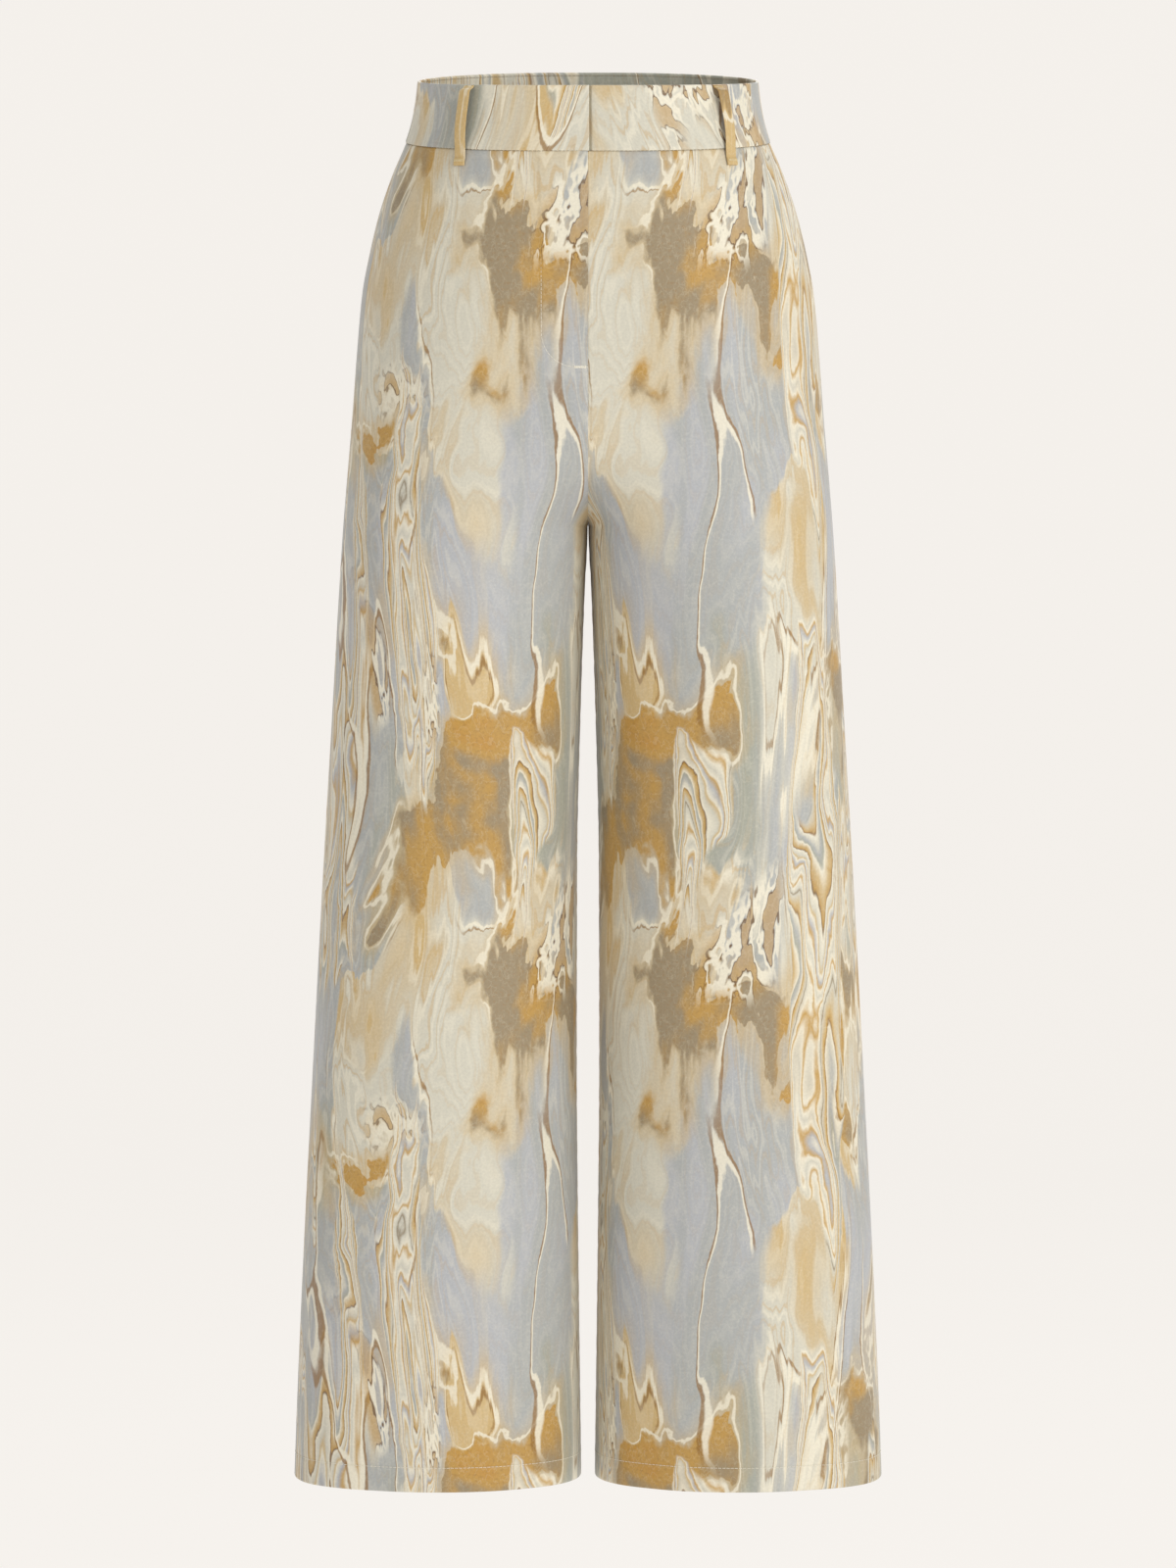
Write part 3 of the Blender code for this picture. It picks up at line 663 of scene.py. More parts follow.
def print_ink(tree, noise, colour):
    """Gold and taupe where the ink gathered, with a peach halo and a light rim."""
    tone = number(tree, "MULTIPLY_ADD", noise.speckle, 0.16, noise.settled)
    ink = mix(tree, soft_step(tree, tone, 0.50, 0.66), TAUPE, GOLD)
    ink = mix(tree, soft_step(tree, tone, 0.66, 0.76, 0.0, 0.55), ink, AMBER)
    ink = mix(tree, soft_step(tree, noise.grit, 0.52, 0.68, 0.0, 0.35), ink, OCHRE)
    return inked(tree, colour, (
        (soft_step(tree, noise.gathered, 0.515, 0.595), 0.62, PEACH),
        (thin_line(tree, noise.gathered, 0.571, 0.0085, noise.edged), 0.75, WHITE_VEIN),
        (spread(tree, noise, noise.gathered, 0.585, -0.3, 0.35), 0.88, ink),
    ))


def print_veins(tree, noise, colour):
    """Bundles of fine lines that run side by side, swell and die out."""
    reach = number(tree, "MULTIPLY_ADD", noise.swell, 0.50, -0.205)
    room = number(tree, "SUBTRACT", reach, away_from(tree, noise.flow, 0.5))
    band = number(tree, "MULTIPLY_ADD", noise.flow, 13.0, times(tree, noise.wash, 0.8))
    ramp = tree.nodes.new("ShaderNodeValToRGB")
    tree.links.new(number(tree, "FRACT", band), ramp.inputs[0])
    stops = ramp.color_ramp.elements
    stops[0].position, stops[0].color = VEIN_BANDS[0]
    stops[1].position, stops[1].color = VEIN_BANDS[-1]
    for position, vein_colour in VEIN_BANDS[1:-1]:
        stops.new(position).color = vein_colour
    bundle = soft_step(tree, room, 0.0, 0.012)
    return inked(tree, colour, ((bundle, 0.86, ramp.outputs[0]),))


def print_marks(tree, noise, colour):
    """Long brown strokes with a light side, flecks where the marbling is busy, fine fibres."""
    streaked = soft_step(tree, noise.streaked, 0.51, 0.59)
    busy = soft_step(tree, noise.busy, 0.60, 0.67)
    gold_fleck = times(tree, soft_step(tree, noise.fleck, 0.545, 0.57), busy)
    return inked(tree, colour, (
        (thin_line(tree, noise.streak, 0.509, 0.0075, streaked), 0.85, WHITE_VEIN),
        (thin_line(tree, noise.streak, 0.5, 0.0055, streaked), 0.75, OCHRE),
        (thin_line(tree, noise.fleck, 0.47, 0.060, busy), 0.9, WHITE_VEIN),
        (gold_fleck, 0.6, GOLD),
        (thin_line(tree, noise.fleck, 0.545, 0.020, busy), 0.85, BROWN_VEIN),
        (thin_line(tree, noise.fibre, 0.5, 0.026), 0.10, WHITE_VEIN),
    ))


def marbled_cloth(name, brightness=0.92, roughness=0.56):
    """Smooth crepe, printed with drawn-out marbling that repeats along the cloth's length."""
    material, tree, shader = blank_material(name)
    noise = print_noise(tree)
    colour = print_washes(tree, noise)
    for layer in (print_ink, print_veins, print_marks):
        colour = layer(tree, noise, colour)
    shade = soft_step(tree, noise.mottle, 0.30, 0.70, 0.955 * brightness, 1.035 * brightness)
    grey = add(tree, "ShaderNodeCombineColor", {0: shade, 1: shade, 2: shade})
    colour = mix(tree, 1.0, colour, grey, blend="MULTIPLY")
    height = number(tree, "ADD", times(tree, noise.grain, 0.4), noise.mottle)
    surfaced(tree, shader, colour, height, 0.35, 0.0002)
    shader.inputs["Roughness"].default_value = roughness
    shader.inputs["Specular IOR Level"].default_value = 0.35
    shader.inputs["Sheen Weight"].default_value = 0.12
    shader.inputs["Sheen Roughness"].default_value = 0.45
    return material


printed_cloth = marbled_cloth("printed_cloth")
wrong_side = marbled_cloth("printed_cloth_wrong_side", brightness=0.86, roughness=0.8)

front_left = leg_panel("front_left_cloth", 1, -1, (0.710, 0.265), (printed_cloth, wrong_side))
front_right = leg_panel("front_right_cloth", -1, -1, (0.827, 0.265), (printed_cloth, wrong_side))
for piece, node in ((front_left, "front_left"), (front_right, "front_right")):
    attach(piece, "root")
    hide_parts(node)

# ---------------------------------------------------------------- the two backs
# The backs are cut from the same cloth, a little fuller over the seat, with one dart each from
# the waistband's seam. They meet in one plain seam from the waist down to the crotch.

back_left = leg_panel("back_left_cloth", 1, 1, (0.100, 0.210), (printed_cloth, wrong_side))
back_right = leg_panel("back_right_cloth", -1, 1, (-0.017, 0.210), (printed_cloth, wrong_side))
for piece, node in ((back_left, "back_left"), (back_right, "back_right")):
    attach(piece, "root")
    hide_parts(node)

# ---------------------------------------------------------------- the waistband
# Three straight pieces of the same cloth, interlined, doubled over at the top edge and sewn on
# along a ditch seam. The right front piece ends in a folded edge at the centre, and the left one
# steps in under it and runs on behind.

BAND_PROUD = 0.0006
BAND_WALL = 0.0024
BAND_COLUMN_STEP = 0.0030
LAP_EDGE = 0.0007
LAP_STEP_START = 0.0030
LAP_STEP_DEPTH = 0.0028
LAP_EXTENSION = 0.036
LAP_STATIONS, EXTENSION_STATIONS = 8, 13
# the right front's folded edge: how far past the centre, and how far it rolls in there
LAP_FOLD = ((0.0, 0.0), (0.0004, 0.0001), (LAP_EDGE, 0.0004))
LAP_FOLD_START = 0.0012
BAND_FROM_SEAM = np.array((0.0, 0.0003, 0.0008, 0.0016))
BAND_PUCKER = 0.00010
BAND_PUCKER_WAVES = 60     # round the whole waist
BAND_PUCKER_RUN = 0.15     # as a share of the band's height

# how far down the band, from 0 at its top edge to 1 at its seam, plus a length in metres, and how
# far each face draws in there
BAND_ROWS = (
    (0.0, 0.0000, 0.00095),
    (0.0, 0.0001, 0.00062),
    (0.0, 0.0003, 0.00034),
    (0.0, 0.0007, 0.00012),
    (0.0, 0.0012, 0.0),
    *[(down, 0.0, 0.0) for down in
      (0.07, 0.14, 0.22, 0.30, 0.38, 0.46, 0.54, 0.62, 0.70, 0.78, 0.86, 0.93)],
    (1.0, -0.0018, 0.0),
    (1.0, -0.0011, 0.00005),
    (1.0, -0.0006, 0.00016),
    (1.0, -0.0003, 0.00030),
    (1.0, -0.00006, 0.00052),
)

# places along the band: the side of the body, the angle, and how far it steps in
Stations = namedtuple("Stations", "sides angles steps")


def side_to_centre(z, face, side, end_x):
    """Angles from a side seam to this far from the centre, evenly spaced."""
    run = ring_run(z, face, end_x)
    count = round(ring_run(WAIST_SEAM["side"], face, end_x).lengths[-1] / BAND_COLUMN_STEP)
    inner = np.linspace(BAND_FROM_SEAM[-1], run.lengths[-1], count)[1:]
    from_seam = np.concatenate((BAND_FROM_SEAM, inner))
    angles = np.interp(run.lengths[-1] - SEAM_CLEAR - from_seam, run.lengths, run.angles)
    return Stations(np.full(len(angles), side), angles, np.zeros(len(angles)))


def past_centre(z, x, sides, steps):
    """Stations near the centre front, at these distances from it."""
    return Stations(np.array(sides), angle_at(np.array(x), z, -1), np.array(steps))


def joined(*parts):
    return Stations(*[np.concatenate(columns) for columns in zip(*parts)])


def right_front_stations(z):
    past, rolled_in = zip(*LAP_FOLD)
    folded = past_centre(z, past, (-1, 1, 1), rolled_in)
    return joined(side_to_centre(z, -1, -1, LAP_FOLD_START), folded)


def left_front_stations(z):
    share = np.linspace(0, 1, LAP_STATIONS + 1)[1:]
    stepping = LAP_STEP_START + (LAP_EDGE + SEAM_GAP - LAP_STEP_START) * share
    into_lap = past_centre(z, stepping, np.ones_like(share), LAP_STEP_DEPTH * eased(share))
    under = np.linspace(0.0, LAP_EXTENSION, EXTENSION_STATIONS + 1)[1:]
    extension = past_centre(z, under, -np.ones_like(under), np.full_like(under, LAP_STEP_DEPTH))
    return joined(side_to_centre(z, -1, 1, LAP_STEP_START), into_lap, extension)


def back_stations(z):
    left, right = side_to_centre(z, 1, 1, 0.0), side_to_centre(z, 1, -1, 0.0)
    turned = Stations(*[np.flip(column) for column in right])
    return joined(left, Stations(*[column[1:] for column in turned]))


def band_place(stations, down, length, face_offset):
    """Points on a face of the band, this share of the way down it."""
    top, seam = tilted(WAIST_TOP, stations.angles), tilted(WAIST_SEAM, stations.angles)
    z = top + (seam - top) * down - length
    pucker = BAND_PUCKER * math.exp(-abs(1 - down) / BAND_PUCKER_RUN)
    wave = np.sin(stations.angles * BAND_PUCKER_WAVES) * pucker
    offset = face_offset + wave - stations.steps
    return form_point(z, stations.angles, stations.sides, offset)


def waistband(name, stations_at, print_start, print_way, materials):
    """One piece of the band, with its print running this way (-1 or 1) from its start."""
    rows = []
    for down, length, draw_in in BAND_ROWS:
        stations = stations_at(WAIST_SEAM["side"] * down)
        front = band_place(stations, down, length, BAND_PROUD - draw_in)
        behind = band_place(stations, down, length, BAND_PROUD - BAND_WALL + draw_in)
        steps = np.linalg.norm(np.diff(front, axis=0), axis=1)
        run = print_way * np.concatenate(([0.0], np.cumsum(steps)))
        height = np.full(len(run), WAIST_SEAM["side"] * down - length)
        place = np.stack((print_start[0] + run, print_start[1] + height), axis=-1)
        rows.append((front, behind, place))
    return cloth_shell(name, rows, materials)


waistband_cloth = marbled_cloth("waistband_cloth")
waistband_lining = marbled_cloth("waistband_lining", brightness=0.88, roughness=0.62)
band_cloth = (waistband_cloth, waistband_lining)

# node, stations, where its print starts and which way it runs, and its cut
BAND_PIECES = (
    ("waistband_front_right", right_front_stations, (2.30, 0.05), 1, (0.210, 0.047)),
    ("waistband_front_left", left_front_stations, (2.93, 0.31), -1, (0.248, 0.047)),
    ("waistband_back", back_stations, (3.60, 0.12), 1, (0.360, 0.046)),
)
for node, stations_at, print_start, print_way, cut in BAND_PIECES:
    piece = waistband(node + "_cloth", stations_at, print_start, print_way, band_cloth)
    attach(piece, "root")
    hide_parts(node)

# ---------------------------------------------------------------- belt loops
# Five narrow strips of the same cloth, folded in three and stitched along both edges. Each is
# turned under and bar-tacked at its ends, and stands clear of the waistband between them.

LOOP_WIDTH = 0.0086
LOOP_WALL = 0.0016
LOOP_STAND_OFF = 0.0046
LOOP_TAIL = 0.0125
LOOP_SEAT = 0.0055
LOOP_TOP_SEAT = 0.0016
LOOP_TOP_RISE = 0.0040
LOOP_FOOT_RISE = 0.0300
LOOP_BELOW_TOP = 0.0008
LOOP_EDGE_RUN = 0.0008
LOOP_EDGE_ROUND = 0.00045
LOOP_ROUND_FROM, LOOP_ROUND_RUN = 0.40, 0.10       # as shares of its width, from its middle
LOOP_END_ROUND = 0.0006
LOOP_GROOVE = 0.00016
LOOP_GROOVE_IN = 0.0014
LOOP_GROOVE_RUN = 0.0003
LOOP_ROWS = 64
LOOP_END_ROWS = np.array((0.0, 0.004, 0.010))      # as shares of its length, from an end
LOOP_TURN_UNDER = 0.0006

# the wearer's side (0 is the centre back), front or back, the distance of its middle from the
# centre at its top and its foot, and where its print starts
LOOP_TABLE_COLUMNS = ("side", "face", "top_x", "foot_x", "print_start")
LOOPS = {
    "loop_front_right": (-1, -1, 0.0854, 0.0929, (2.556, -0.19)),
    "loop_front_left": (1, -1, 0.0932, 0.1042, (2.590, -0.20)),
    "loop_back_right": (-1, 1, 0.0900, 0.0960, (2.570, -0.16)),
    "loop_back_left": (1, 1, 0.0900, 0.0960, (2.600, -0.15)),
    "loop_centre_back": (0, 1, 0.0, 0.0, (2.565, -0.21)),
}
LOOP_HALF = (0.15, 0.30, 0.345, 0.385, 0.44, 0.48, 0.5)
LOOP_ACROSS = np.array((*[-share for share in LOOP_HALF[::-1]], 0.0, *LOOP_HALF))


def loop_row(loop, share, across, lift=0.0):
    """Points across a belt loop at this share of its length: on its outer and inner faces."""
    middle = float(angle_at(loop["top_x"], WAIST_SEAM["side"] / 2, loop["face"]))
    top = float(tilted(WAIST_TOP, middle)) - LOOP_BELOW_TOP
    seam = float(tilted(WAIST_SEAM, middle))
    foot = seam - LOOP_TAIL
    z = top + (foot - top) * share
    x = loop["top_x"] + (loop["foot_x"] - loop["top_x"]) * share
    from_top = np.clip((top - LOOP_TOP_SEAT - z) / LOOP_TOP_RISE, 0, 1)
    from_foot = np.clip((z - foot - LOOP_SEAT) / LOOP_FOOT_RISE, 0, 1)
    arch = LOOP_STAND_OFF * math.sin(from_top * math.pi / 2) * math.sin(from_foot * math.pi / 2)
    onto_panel = min(1.0, max(0.0, (seam + LOOP_SEAT - z) / LOOP_SEAT))
    clear = SEAM_GAP + BAND_PROUD * (1 - onto_panel) + arch
    if loop["side"] == 0:
        sides = np.where(across < 0, -1, 1)
        angles = angle_at(np.abs(across), z, loop["face"])
    else:
        here = float(angle_at(x, z, loop["face"]))
        step = 0.01
        pair = form_point(z, np.array((here, here - step)), 1, 0.0)
        sides = np.full(len(across), loop["side"])
        angles = here - step * across / np.linalg.norm(pair[1] - pair[0])
    edge = np.abs(across) / LOOP_WIDTH
    rounding = LOOP_EDGE_ROUND * eased((edge - LOOP_ROUND_FROM) / LOOP_ROUND_RUN)
    from_groove = (LOOP_WIDTH * (0.5 - edge) - LOOP_GROOVE_IN) / LOOP_GROOVE_RUN
    groove = LOOP_GROOVE * np.exp(-(from_groove**2))
    end = min(z - foot, top - z)
    turned_under = LOOP_TURN_UNDER * (end < LOOP_SEAT * 0.9 and end == z - foot)
    turned_under -= LOOP_END_ROUND * max(0.0, 1 - end / LOOP_EDGE_RUN) ** 2
    face = clear + LOOP_WALL + turned_under - rounding - groove + lift
    outer = form_point(z, angles, sides, face)
    inner = form_point(z, angles, sides, clear + rounding)
    return outer, inner, z


def belt_loop(node, loop, materials):
    inner = np.linspace(0.02, 0.98, LOOP_ROWS)
    across = LOOP_ACROSS * LOOP_WIDTH
    start = loop["print_start"]
    rows = []
    for share in (*LOOP_END_ROWS, *inner, *(1 - LOOP_END_ROWS[::-1])):
        front, behind, z = loop_row(loop, share, across)
        place = np.stack((start[0] + across, np.full(len(across), start[1] + z)), axis=-1)
        rows.append((front, behind, place))
    return cloth_shell(node + "_strip", rows, materials)


loop_cloth = marbled_cloth("loop_cloth")
# The loops' inner faces take the printed cloth darkened to about a third: painted shade, standing in
# for the shadow in the gap between each loop and the waistband.
loop_underside_painted_shade = marbled_cloth("loop_underside_painted_shade", brightness=0.34, roughness=0.85)

for node, row in LOOPS.items():
    piece = belt_loop(node, dict(zip(LOOP_TABLE_COLUMNS, row)), (loop_cloth, loop_underside_painted_shade))
    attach(piece, "root")
    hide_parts(node)

# ---------------------------------------------------------------- the fly zip
# A sand-coloured coil zip behind the lap: two woven tapes, a nylon coil along each, and a small
# metal slider that stands at the top with its tab turned down.

ZIP_CENTRE = -0.0080
ZIP_TOP, ZIP_BOTTOM = -0.0690, -0.2040
ZIP_SEAT, ZIP_CHAIN_FACE = -0.0020, -0.0033
ZIP_TAPE_WALL = 0.0009
ZIP_CHAIN_HALF = 0.0024
SLIDER_HALF = 0.0040
SLIDER_BODY = 0.0100
SLIDER_FOOT = 0.0008       # how far the tapes stay clear of it below the coils' top end
TAPE_EDGE_ROUND = 0.0003
TAPE_COLUMNS = 17
TAPE_ROWS = (8, 60)        # beside the slider, and beside the coils
ZIP_SEWN_EDGES = {"zip_tape_right": -0.0250, "zip_tape_left": 0.0080}


def on_fronts(z, x, offset):
    """Points on the fronts' own form at these heights and signed distances from the centre."""
    z, x = np.broadcast_arrays(z, x)
    return form_point(z, angle_at(np.abs(x), z, -1), np.where(x < 0, -1, 1), offset)


def woven_tape(name):
    """Closely woven polyester tape, with its ribs across."""
    material, tree, shader = blank_material(name)
    place = add(tree, "ShaderNodeUVMap", {}, uv_map="cloth")
    ribs = {"Vector": place, "Scale": 520.0, "Distortion": 0.4, "Detail": 1.0}
    rib = add(tree, "ShaderNodeTexWave", ribs, output=1, bands_direction="Y")
    warp = {"Vector": place, "Scale": 420.0, "Distortion": 0.3, "Detail": 1.0}
    thread = add(tree, "ShaderNodeTexWave", warp, output=1, bands_direction="X")
    weave = times(tree, rib, thread)
    colour = mix(tree, weave, paint("#B9A67F"), paint("#DCCBA6"))
    surfaced(tree, shader, colour, weave, 0.5, 0.0002)
    shader.inputs["Roughness"].default_value = 0.8
    return material


zip_tape_cloth = woven_tape("zip_tape_cloth")


def zip_tape(node, sewn_edge):
    """From its sewn edge the tape bows in to the coil, and keeps clear of the slider."""
    towards = math.copysign(1, sewn_edge - ZIP_CENTRE)
    slider_end = ZIP_TOP - SLIDER_FOOT
    share = np.linspace(0, 1, TAPE_COLUMNS)
    heights = np.concatenate((
        np.linspace(ZIP_TOP + SLIDER_BODY, slider_end, TAPE_ROWS[0]),
        np.linspace(slider_end - 0.0008, ZIP_BOTTOM, TAPE_ROWS[1]),
    ))
    face = ZIP_SEAT + (ZIP_CHAIN_FACE - ZIP_SEAT) * eased(share)
    edge = TAPE_EDGE_ROUND * (np.isin(share, (0.0, 1.0)))
    rows = []
    for z in heights:
        half = SLIDER_HALF if z >= slider_end else ZIP_CHAIN_HALF
        x = sewn_edge + (ZIP_CENTRE + towards * (half + SEAM_GAP) - sewn_edge) * share
        front = on_fronts(z, x, face - edge)
        behind = on_fronts(z, x, face - ZIP_TAPE_WALL + edge)
        rows.append((front, behind, np.stack((x, np.full(len(x), z)), axis=-1)))
    return cloth_shell(node + "_weave", rows, (zip_tape_cloth,))


for node, sewn_edge in ZIP_SEWN_EDGES.items():
    piece = zip_tape(node, sewn_edge)
    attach(piece, "root")
    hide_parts(node)


def rods_on_rows():
    """A tree that lays short, slightly arched rods along rows. The rows are edges of a mesh, and
    their points carry two vectors: which way a rod lies, and which way is up off the surface."""
    tree = bpy.data.node_groups.new("rods on rows", "GeometryNodeTree")
    sockets = {
        "Rows": "Geometry", "Pitch": "Float", "Length": "Float", "Thickness": "Float",
        "Finish": "Material",
    }
    for name, kind in sockets.items():
        tree.interface.new_socket(name, in_out="INPUT", socket_type="NodeSocket" + kind)
    tree.interface.new_socket("Rods", in_out="OUTPUT", socket_type="NodeSocketGeometry")
    given = tree.nodes.new("NodeGroupInput").outputs

    def vector(x, y, z):
        return add(tree, "ShaderNodeCombineXYZ", {0: x, 1: y, 2: z})

    half = times(tree, given["Length"], 0.5)
    ends = {
        "Start": vector(times(tree, half, -1.0), 0.0, 0.0),
        "Middle": vector(0.0, 0.0, given["Thickness"]),
        "End": vector(half, 0.0, 0.0),
        "Resolution": 4,
    }
    spine = add(tree, "GeometryNodeCurveQuadraticBezier", ends)
    radius = times(tree, given["Thickness"], 0.5)
    ring = add(tree, "GeometryNodeCurvePrimitiveCircle", {"Resolution": 6, "Radius": radius})
    rod_inputs = {"Curve": spine, "Profile Curve": ring, "Fill Caps": True}
    rod = add(tree, "GeometryNodeCurveToMesh", rod_inputs)

    curve = add(tree, "GeometryNodeMeshToCurve", {"Mesh": given["Rows"]})
    spread = {"Curve": curve, "Length": given["Pitch"]}
    points = add(tree, "GeometryNodeCurveToPoints", spread, mode="LENGTH")
    lie, up = [
        add(tree, "GeometryNodeInputNamedAttribute", {"Name": held}, data_type="FLOAT_VECTOR")
        for held in ("lie", "up")
    ]
    along = add(tree, "FunctionNodeAlignRotationToVector", {"Vector": lie}, axis="X")
    stood = {"Rotation": along, "Vector": up}
    turned = add(tree, "FunctionNodeAlignRotationToVector", stood, axis="Z", pivot_axis="X")
    wobble = {"Min": (-0.05, -0.03, -0.06), "Max": (0.05, 0.03, 0.06), "Seed": 5}
    random = add(tree, "FunctionNodeRandomValue", wobble, data_type="FLOAT_VECTOR")
    loose = add(tree, "FunctionNodeEulerToRotation", {0: random})
    rotation = {"Rotation": turned, "Rotate By": loose}
    final = add(tree, "FunctionNodeRotateRotation", rotation, rotation_space="LOCAL")
    laid = {"Points": points, "Instance": rod, "Rotation": final}
    rods = add(tree, "GeometryNodeInstanceOnPoints", laid)
    real = add(tree, "GeometryNodeRealizeInstances", {"Geometry": rods})
    smooth = add(tree, "GeometryNodeSetShadeSmooth", {"Geometry": real, "Shade Smooth": True})
    finish = {"Geometry": smooth, "Material": given["Finish"]}
    finished = add(tree, "GeometryNodeSetMaterial", finish)
    tree.links.new(finished, tree.nodes.new("NodeGroupOutput").inputs["Rods"])
    return tree


ROD_TREE = rods_on_rows()

# points along a row, which way the rods lie there, and which way is up off the surface
Row = namedtuple("Row", "points lie up")


def row_on(points, above, lie=None):
    """A row of rods. above holds the same points, moved out off the surface."""
    ahead = np.gradient(points, axis=0)
    return Row(points, ahead if lie is None else lie, above - points)


def laid_rods(name, rows, material, pitch, length, thickness):
    """Rods of thread or nylon along rows, as one plain mesh."""
    mesh = bpy.data.meshes.new(name + "_rows")
    points, lie, up = (np.concatenate(part) for part in zip(*rows))
    edges, start = [], 0
    for row in rows:
        end = start + len(row.points)
        edges += [(i, i + 1) for i in range(start, end - 1)]
        start = end
    mesh.from_pydata(points.tolist(), edges, [])
    for kind, vectors in (("lie", lie), ("up", up)):
        vectors = vectors / np.linalg.norm(vectors, axis=1, keepdims=True)
        held = mesh.attributes.new(kind, "FLOAT_VECTOR", "POINT")
        held.data.foreach_set("vector", vectors.ravel())
    lines = placed(name + "_rows", mesh)
    modifier = lines.modifiers.new("rods", "NODES")
    modifier.node_group = ROD_TREE
    values = {"Pitch": pitch, "Length": length, "Thickness": thickness, "Finish": material}
    for item in ROD_TREE.interface.items_tree:
        if item.name in values:
            modifier[item.identifier] = values[item.name]
    bpy.context.view_layer.update()
    evaluated = lines.evaluated_get(bpy.context.evaluated_depsgraph_get())
    piece = placed(name, bpy.data.meshes.new_from_object(evaluated))
    bpy.data.objects.remove(lines)
    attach(piece, "root")
    return piece


def spun_thread(name, light, dark, roughness=0.55):
    """Thread or nylon with a fine, uneven twist."""
    material, tree, shader = blank_material(name)
    place = add(tree, "ShaderNodeTexCoord", {}, output=3)
    twist = cloud(tree, place, 2600.0, 1.0, 1.0)
    colour = mix(tree, soft_step(tree, twist, 0.35, 0.65), paint(dark), paint(light))
    surfaced(tree, shader, colour, twist, 0.4, 0.00005)
    shader.inputs["Roughness"].default_value = roughness
    return material


zip_coil = spun_thread("zip_coil", "#DCCFAE", "#C6B68F", roughness=0.4)
COIL_TURN, COIL_WIDTH, COIL_THICKNESS = 0.0012, 0.0030, 0.00090
COIL_FACE = ZIP_CHAIN_FACE - 0.0009
COIL_FROM_CENTRE = 0.0008
COIL_POINTS = 120
coil_z = np.linspace(ZIP_TOP - 0.0016, ZIP_BOTTOM + 0.0006, COIL_POINTS)
coil_rows = []
for start, from_centre in ((0.0, -COIL_FROM_CENTRE), (COIL_TURN / 2, COIL_FROM_CENTRE)):
    across = ZIP_CENTRE + from_centre
    z = coil_z - start
    points = on_fronts(z, across, COIL_FACE)
    lie = on_fronts(z, across + 0.001, COIL_FACE) - points
    coil_rows.append(row_on(points, on_fronts(z, across, 0.0), lie))
coils = laid_rods("zip_coils", coil_rows, zip_coil, COIL_TURN, COIL_WIDTH, COIL_THICKNESS)
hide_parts("zip_chain")

# the slider's outline: height above the coil's top end, half its width, and its front and back
# faces as offsets from the fronts' form
SLIDER_COLUMNS = ("up", "half", "front", "behind")
SLIDER_ROWS = (
    (0.0100, 0.0020, -0.0026, -0.0048),
    (0.0094, 0.0027, -0.0022, -0.0052),
    (0.0075, 0.0033, -0.0020, -0.0058),
    (0.0045, 0.0033, -0.0020, -0.0060),
    (0.0018, 0.0027, -0.0020, -0.0060),
    (0.0004, 0.0023, -0.0022, -0.0056),
    (0.0000, 0.0020, -0.0026, -0.0050),
)
TAB_LENGTH = 0.0200
TAB_HALF = 0.0020
TAB_FACE, TAB_WALL = -0.0021, 0.0008
TAB_DROP = 0.0010          # how far its top lies under the coil's top end
TAB_ROUND = (0.6, 0.35)    # how round its outline is across and along: 1 gives an ellipse
TAB_HOLE = 0.0009
TAB_HOLE_LONG = 1.6        # how much longer than wide the hole is
TAB_HOLE_UP = 0.0018
TAB_CORNERS = 24
METAL_EDGE = 0.00018


def brushed_metal(name):
    """Pale plated metal with fine brushing along it."""
    material, tree, shader = blank_material(name)
    place = add(tree, "ShaderNodeTexCoord", {}, output=3)
    brush = cloud(tree, place, 900.0, 3.0, 1.0, stretch=(6.0, 6.0, 0.4))
    colour = mix(tree, brush, paint("#B7A77F"), paint("#D9CDAC"))
    tree.links.new(colour, shader.inputs["Base Color"])
    tree.links.new(soft_step(tree, brush, 0.2, 0.8, 0.24, 0.40), shader.inputs["Roughness"])
    shader.inputs["Metallic"].default_value = 1.0
    return material


